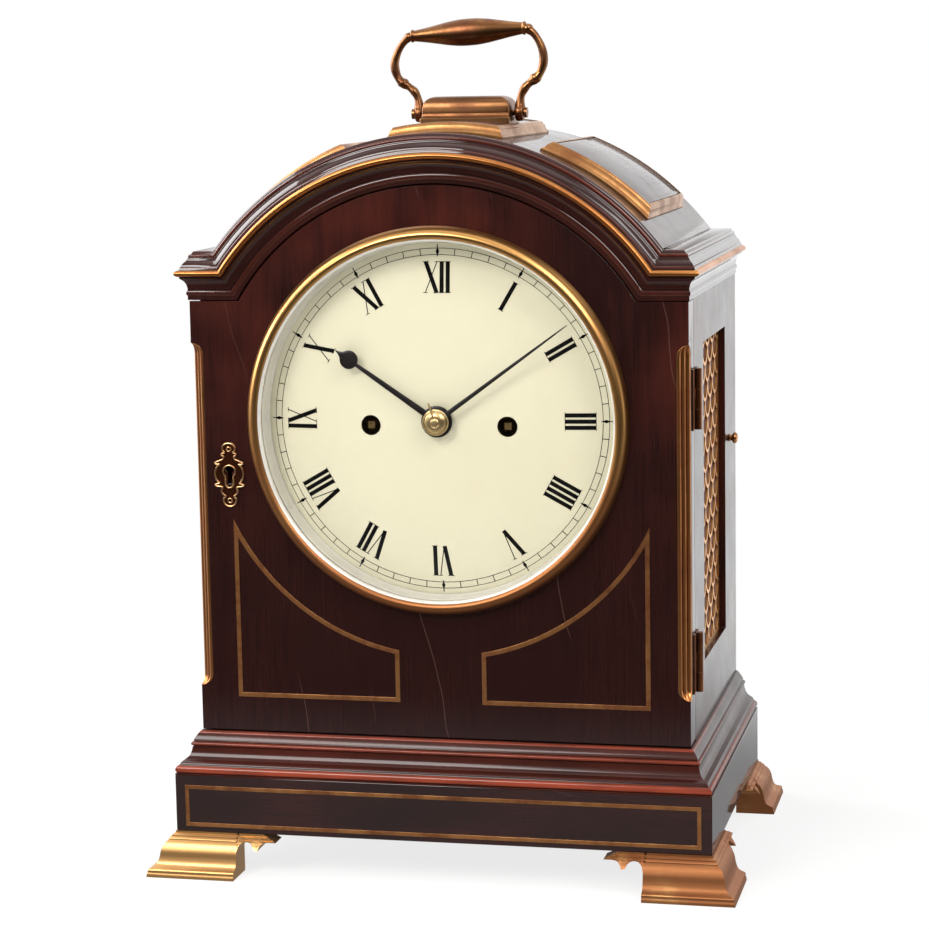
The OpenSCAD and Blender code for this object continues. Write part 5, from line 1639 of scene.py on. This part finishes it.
@dataclass
class DialAndHands:
    """The painted dial with its numerals and minute ring, the two hands and their collet."""

    at: Places
    thick: float = 1.2
    wind_x: float = 39.5
    wind_z: float = -3.0
    wind_r: float = 5.8
    centre_r: float = 4.2
    ring: tuple[float, float] = (93.2, 96.8)
    numeral: tuple[float, float] = (72.0, 89.3)
    hairline: float = 0.34
    heavy: float = 2.35
    ink_rise: float = 0.12
    letters: dict[str, float] = field(default_factory=lambda: {"I": 3.5, "V": 8.2, "X": 8.6})
    hour_angle: float = 304.5
    minute_angle: float = 54.0

    def surface(self, q: Array) -> Array:
        """Y of the dial's front at points (k, 2) of X and Z: a spherical cap.

        Args:
            q: the points.

        Returns:
            Y at each: the rim less the height of the cap there.
        """
        low, high = node_box("dial")
        half, rise = (high[0] - low[0]) / 2, self.at.dial_rise
        big = (half**2 + rise**2) / (2 * rise)
        r2 = q[:, 0] ** 2 + (q[:, 1] - self.at.dial_z) ** 2
        return low[1] + rise - (np.sqrt(np.clip(big**2 - r2, 0, None)) - (big - rise))

    def plate(self) -> None:
        """The dial sheet with its three holes, and its four feet behind."""
        low, high = node_box("dial")
        half, z = (high[0] - low[0]) / 2, self.at.dial_z
        holes = [(0.0, z, self.centre_r), (-self.wind_x, z + self.wind_z, self.wind_r),
                 (self.wind_x, z + self.wind_z, self.wind_r)]
        loops = [circle(0, z, half, 180)] + [circle(*h, 56) for h in holes]
        rings = [circle(0, z, half * k / 14, 10 * k) for k in range(1, 14)]
        inner = np.vstack(rings)
        clear = np.ones(len(inner), bool)
        for x, hz, r in holes:
            clear &= np.hypot(inner[:, 0] - x, inner[:, 1] - hz) > r + 1.2
        inner = inner[clear]

        def inside(q: Array) -> Array:
            """Whether points lie in the sheet and in no hole.

            Args:
                q: the points (k, 2).

            Returns:
                True for each point in the sheet.
            """
            good = np.hypot(q[:, 0], q[:, 1] - z) < half
            for x, hz, r in holes:
                good &= np.hypot(q[:, 0] - x, q[:, 1] - hz) > r
            return good

        shell = plate(loops, inner, inside, self.surface, lambda q: self.surface(q) + self.thick)
        foot_r, foot_at = 2.5, 60.0
        for sx in (-1, 1):
            for sz in (-1, 1):
                y0 = self.surface(np.array([[foot_at, z + foot_at]]))[0] + self.thick / 2
                profile = np.array([(0, y0), (foot_r, y0), (foot_r, high[1]), (0, high[1])])
                shell.turn(profile, (sx * foot_at, 0, z + sz * foot_at), 1, 24)
        shell.piece("painted_dial", "dial", Metal.DIAL, 30.0)

    def on_dial(self, across: Array, out: Array, degrees: float) -> tuple[Array, Array]:
        """X and Z of places across and out from the dial's centre, turned clockwise."""
        c, s = math.cos(math.radians(degrees)), math.sin(math.radians(degrees))
        return across * c + out * s, -across * s + out * c + self.at.dial_z

    def ink(self, shell: Shell, p: Array, wrap: bool = False) -> None:
        """Lays a flat grid (u, v, 2) of X and Z on the dial as a thin closed layer of ink.

        Args:
            shell: where the ink goes.
            p: the grid.
            wrap: whether its last row joins the first.
        """
        y = self.surface(p.reshape(-1, 2)).reshape(p.shape[:2])
        top = joined(p[..., 0], y - self.ink_rise, p[..., 1])
        base = joined(p[..., 0], y + self.ink_rise / 2, p[..., 1])
        shell.grid(np.concatenate([top, base[:, ::-1]], axis=1), wrap_u=wrap, wrap_v=True)
        if not wrap:
            for row in (0, -1):
                shell.cap(np.concatenate([top[row], base[row, ::-1]]))

    def bar(self, shell: Shell, ends: Array, widths: tuple[float, float], degrees: float) -> None:
        """Draws a bar.

        Args:
            shell: where the ink goes.
            ends: its two ends (2, 2), across and outwards from the dial's centre.
            widths: its width at each end.
            degrees: angle of its numeral, clockwise from the top.
        """
        t = np.linspace(0, 1, 5)[:, None]
        spine = ends[0] + (ends[1] - ends[0]) * t
        direction = (ends[1] - ends[0]) / np.linalg.norm(ends[1] - ends[0])
        side = np.array([-direction[1], direction[0]])
        half = (widths[0] + (widths[1] - widths[0]) * t) / 2
        rows = np.stack([spine - side * half, spine + side * half], 1)
        self.ink(shell, joined(*self.on_dial(rows[..., 0], rows[..., 1], degrees)))

    def strokes(self, letter: str, x: float) -> list[Stroke]:
        """The strokes of one letter whose box is centred on x.

        Args:
            letter: I, V or X.
            x: middle of its box, across.

        Returns:
            The thick and thin strokes.
        """
        low, high = self.numeral
        half = self.letters[letter] / 2 - 0.7
        thin, heavy = self.hairline * 1.5, self.heavy
        if letter == "I":
            bars = [Stroke((x, low), (x, high), heavy)]
            feet = [(x, 1.75)]
            tops = [(x, 1.75)]
        elif letter == "V":
            bars = [Stroke((x - half + 0.4, high), (x + 0.2, low), heavy),
                    Stroke((x + half - 0.2, high), (x + 0.5, low), thin)]
            feet = []
            tops = [(x - half + 0.4, 1.9), (x + half - 0.2, 1.3)]
        else:
            bars = [Stroke((x - half + 0.4, high), (x + half - 0.4, low), heavy),
                    Stroke((x + half - 0.3, high), (x - half + 0.3, low), thin)]
            feet = [(x + half - 0.4, 1.8), (x - half + 0.3, 1.3)]
            tops = [(x - half + 0.4, 1.8), (x + half - 0.3, 1.3)]
        for serifs, up in ((feet, low), (tops, high)):
            bars += [Stroke((at - reach, up), (at + reach, up), self.hairline)
                     for at, reach in serifs]
        return bars

    def markings(self) -> None:
        """The twelve numerals, the two rings, sixty ticks and twelve diamonds."""
        names = ("XII", "I", "II", "III", "IIII", "V", "VI", "VII", "VIII", "IX", "X", "XI")
        shell = Shell()
        for hour, name in enumerate(names):
            x = -sum(self.letters[c] for c in name) / 2
            for letter in name:
                for stroke in self.strokes(letter, x + self.letters[letter] / 2):
                    ends = np.array([stroke.start, stroke.end])
                    self.bar(shell, ends, (stroke.wide, stroke.wide), 30 * hour)
                x += self.letters[letter]
        for radius in self.ring:
            rims = [circle(0, self.at.dial_z, radius + d, 240) for d in (-0.15, 0.15)]
            self.ink(shell, np.stack(rims, 1), wrap=True)
        middle, half_diamond = sum(self.ring) / 2, 2.4
        for minute in range(60):
            five = minute % 5 == 0
            low, high, wide = (92.2, 99.0, 0.50) if five else (*self.ring, 0.42)
            self.bar(shell, np.array([(0, low), (0, high)]), (wide, wide), 6 * minute)
            for end in (middle - half_diamond, middle + half_diamond) if five else ():
                self.bar(shell, np.array([(0, end), (0, middle)]), (0.1, 2.0), 6 * minute)
        shell.piece("dial_markings", "dial", Metal.INK, extra=True)

    def hand(self, node: str, angle: float, boss: float, bore: float, spine: Array) -> None:
        """Makes a hand: its half width along its length, with a lens-shaped section.

        Args:
            node: the node of the frame that it stands for.
            angle: where it points, clockwise from the top, in degrees.
            boss: radius of the boss at its centre.
            bore: radius of the hole in the boss.
            spine: rows of (distance from the centre, half width).
        """
        low, high = node_box(node)
        y, thick = (low[1] + high[1]) / 2, high[1] - low[1]
        turn = around(24)
        across = np.outer(spine[:, 1], np.cos(turn))
        slim = np.clip(spine[:, 1:] / 1.2, 0.25, 1.0)
        depth = y + np.sin(turn) * thick / 2 * slim
        x, z = self.on_dial(across, spine[:, :1], angle)
        shell = Shell().tube(joined(x, depth, z))
        rim = run([(boss - 0.6, low[1]), (boss, low[1] + 0.35), (boss, high[1] - 0.3),
                   (boss - 0.5, high[1])])
        profile = np.vstack([[(bore, low[1])], rim, [(bore, high[1])]])
        shell.turn(profile, self.at.dial, 1, 64, closed=True)
        shell.piece(node + "_piece", node, Metal.BLUED, 40.0)

    def hands(self) -> None:
        """The hour hand swells into a disc with a point; the minute hand tapers to its tip."""
        disc_r, disc_at, tip = 5.35, 61.2, 70.4
        turn = np.linspace(np.radians(12), np.radians(150), 26)
        disc = joined(disc_at - disc_r * np.cos(turn), disc_r * np.sin(turn))
        shaft = run([(4.0, 2.0), (20.0, 1.75), (40.0, 1.45), (53.0, 1.2), disc[0]], 5)
        point = run([disc[-1], disc[-1] + (0.9, -0.9), (tip - 1.6, 0.75), (tip, 0.35)], 4)
        self.hand("hour_hand", self.hour_angle, 8.9, 3.25,
                  np.vstack([shaft[:-1], disc, point[1:]]))
        blade = [(3.0, 1.45), (30.0, 1.15), (60.0, 0.85), (80.0, 0.55), (93.3, 0.25)]
        self.hand("minute_hand", self.minute_angle, 6.3, 2.05, run(blade, 6))

    def collet(self) -> None:
        """The domed brass collet over the hands, with the pin that holds it."""
        low, high = node_box("hand_collet")
        bore, rim = 2.0, (high[0] - low[0]) / 2
        front, back = low[1], high[1]
        # The rim, the dome and the pin are painted bright as a highlight.
        profile, highlight_and_wear = outline(
            ([(bore, back), (rim, back)], 0.0),
            ([(rim, back - 0.6), (rim - 0.25, back - 1.0), (rim - 0.9, back - 1.25)], 1.0),
            ([(rim - 1.3, back - 1.15), (rim - 1.7, back - 1.35)], 0.0),
            ([(rim - 2.2, front + 1.35), (rim - 3.4, front + 0.75), (rim - 4.6, front + 0.6)], 0.8),
            ([(2.6, front + 0.75), (2.3, front + 0.45), (1.6, front + 0.1), (0, front)], 1.0),
            ([(0, front + 0.6), (bore, front + 1.3)], 0.0),
        )
        shell = Shell().turn(profile, self.at.dial, 1, 56, closed=True, highlight_and_wear=highlight_and_wear)
        pin = run([(0, -5.2), (0.34, -5.0), (0.5, 0), (0.62, 10.6), (0, 11.2)], 4)
        lean = math.radians(-106)
        level = turned(pin, (0, front + 0.7, 0), 0, 16)
        x, z = level[..., 0], level[..., 2]
        pinned = joined(x * math.cos(lean) - z * math.sin(lean), level[..., 1],
                        -x * math.sin(lean) + z * math.cos(lean) + self.at.dial_z)
        shell.grid(pinned, wrap_u=True, highlight_and_wear=0.6)
        shell.piece("domed_collet", "hand_collet", Metal.COLLET)

    def build(self) -> None:
        """Builds the dial, its markings, the hands and the collet."""
        self.plate()
        self.markings()
        self.hands()
        self.collet()


@dataclass
class Movement:
    """The two-train movement, its seat board, pendulum, bell and hammer."""

    brasses: tuple[str, ...] = (
        "front_plate", "back_plate", "pillars", "going_barrel", "strike_barrel", "going_fusee",
        "strike_fusee", "centre_wheel", "third_wheel", "escape_wheel", "minute_wheel",
        "hour_wheel", "pin_wheel", "fly", "back_cock")
    steels: tuple[str, ...] = ("barrel_arbors", "pallets", "hammer")

    def pendulum(self) -> None:
        """The pendulum: spring strip, rod, a bob turned to a lens, and the rating nut."""
        low, high = node_box("pendulum")
        y = (low[1] + high[1]) / 2
        screw_r, nut_r, rod_r, bob_r, bob_half = 1.0, 2.6, 1.2, 24.0, 5.0
        bob_z = low[2] + bob_r + 8.0
        turn = np.linspace(-np.pi / 2, np.pi / 2, 24)
        lens = joined(bob_r * np.cos(turn) ** 0.72, bob_half * np.sin(turn))
        lens[[0, -1], 0] = 0
        shell = Shell().turn(lens, (0, y, bob_z), 1, 96)
        foot = bob_z - bob_r
        rod = np.array([(0, foot - 8), (screw_r, foot - 8), (screw_r, foot + 2), (rod_r, foot + 2),
                        (rod_r, high[2] - 16), (0, high[2] - 16)])
        shell.turn(rod, (0, y, 0), 2, 24)
        nut = np.vstack([[(screw_r, foot - 6)], run([(2.1, foot - 6), (nut_r, foot - 5.4),
                         (nut_r, foot - 2.6), (2.1, foot - 2)]), [(screw_r, foot - 2)]])
        shell.turn(nut, (0, y, 0), 2, 32, closed=True)
        strip = [(-3, -0.2), (3, -0.2), (3, 0.2), (-3, 0.2)]
        ends = (high[2] - 17.2, high[2])
        shell.tube(np.array([[(x, y + dy, z) for x, dy in strip] for z in ends]))
        shell.piece("pendulum_piece", "pendulum", Metal.WORK)

    def build(self) -> None:
        """Dresses the movement."""
        for node in self.brasses:
            coat_node(node, Metal.WORK)
        for node in self.steels:
            coat_node(node, Metal.STEEL)
        coat_node("seat_board", Wood.INSIDE)
        softened("bell", Metal.BELL, 0.2, 25.0)
        self.pendulum()


@dataclass
class Studio:
    """White room, soft lamps, pale floor and the camera at the photograph's angle."""

    eye: tuple[float, float, float] = (0.35268, -1.54444, 0.45837)
    azimuth: float = 13.061
    elevation: float = 8.328
    roll: float = -1.030
    lens: float = 104.07
    middle: tuple[float, float, float] = (0.0, 0.0, 0.24)
    floor_half: float = 3.0
    ambient: float = 0.50
    gloss_behind: float = 1.38
    gloss_ahead: float = 0.02
    gloss_above: float = 0.40
    # Name, place, side in metres, power in watts and colour of each lamp
    lamps: tuple[tuple[str, tuple[float, ...], float, float, tuple[float, ...]], ...] = (
        ("key", (-0.95, -2.0, 1.75), 1.1, 59.0, (1.0, 0.985, 0.96)),
        ("fill", (1.32, -1.24, 1.74), 1.0, 26.0, (1.0, 0.98, 0.96)),
        ("left_window", (-1.95, 0.10, 1.20), 1.6, 70.0, (1, 1, 1)),
        ("overhead", (0.2, -0.1, 1.9), 1.2, 3.5, (1, 1, 1)))

    def camera(self) -> None:
        """Sets the camera by its azimuth, elevation and roll."""
        az, el, roll = (math.radians(v) for v in (self.azimuth, self.elevation, self.roll))
        back = Vector((math.sin(az) * math.cos(el), -math.cos(az) * math.cos(el), math.sin(el)))
        flat_right = Vector((math.cos(az), math.sin(az), 0))
        flat_up = back.cross(flat_right)
        right = flat_right * math.cos(roll) + flat_up * math.sin(roll)
        up = flat_up * math.cos(roll) - flat_right * math.sin(roll)
        data = bpy.data.cameras.new("camera")
        data.sensor_width, data.lens = 36.0, self.lens
        data.clip_start, data.clip_end = 0.05, 50.0
        camera = placed("camera", data)
        turn = Matrix((right, up, back)).transposed().to_4x4()
        camera.matrix_world = Matrix.Translation(Vector(self.eye)) @ turn
        bpy.context.scene.camera = camera

    def lamp(self, name: str, place: Sequence[float], size: float, power: float,
             colour: Sequence[float]) -> None:
        """A square soft lamp aimed at the clock's middle and hidden from the camera.

        Args:
            name: its name.
            place: where it stands, in metres.
            size: its side in metres.
            power: in watts.
            colour: red, green and blue.
        """
        data = bpy.data.lights.new(name, "AREA")
        data.shape, data.size, data.energy, data.color = "SQUARE", size, power, colour
        lamp = placed(name, data)
        aim = Vector(self.middle) - Vector(place)
        lamp.matrix_world = (Matrix.Translation(Vector(place))
                             @ aim.to_track_quat("-Z", "Y").to_matrix().to_4x4())
        lamp.visible_camera = False

    def world(self) -> None:
        """White for the camera; for gloss white at the back and sides, dark in front."""
        world = bpy.data.worlds.new("room")
        bpy.context.scene.world = world
        world.use_nodes = True
        bench = Bench(world.node_tree)
        clear, glossy = bench.rays()
        _, y, z = bench.split(bench.add("ShaderNodeTexCoord", output="Generated"))
        behind = y.step(-0.40, 0.25)
        above = z.step(0.30, 0.75) * (1 - behind) * self.gloss_above
        room = behind * self.gloss_behind + self.gloss_ahead + above
        strength = clear + (1 - clear) * (glossy * room + (1 - glossy) * self.ambient)
        bench.output(bench.add("ShaderNodeBackground", None,
                               {"Color": (1, 1, 1, 1), "Strength": strength}),
                     "ShaderNodeOutputWorld")

    def floor(self) -> None:
        """The square floor that the clock stands on."""
        half = self.floor_half
        mesh = bpy.data.meshes.new("floor")
        mesh.from_pydata([(-half, -half, 0), (half, -half, 0), (half, half, 0), (-half, half, 0)],
                         [], [(0, 1, 2, 3)])
        mesh.materials.append(PaleFloor("pale_floor").material())
        floor = placed("floor", mesh)

    def build(self) -> None:
        """Sets up the whole studio."""
        self.camera()
        self.world()
        self.floor()
        for lamp in self.lamps:
            self.lamp(*lamp)
        bpy.context.scene.view_settings.view_transform = "Standard"


def main() -> None:
    logging.basicConfig(level=logging.INFO, format="%(name)s: %(message)s")
    at = Places.read()
    Studio().build()
    Plinth(at).build()
    Sides(at).build()
    Cornice(at).build()
    Roof(at).build()
    FrontDoor(at).build()
    RearDoor().build()
    CarryHandle(at).build()
    DialAndHands(at).build()
    Movement().build()


if __name__ == "__main__":
    main()
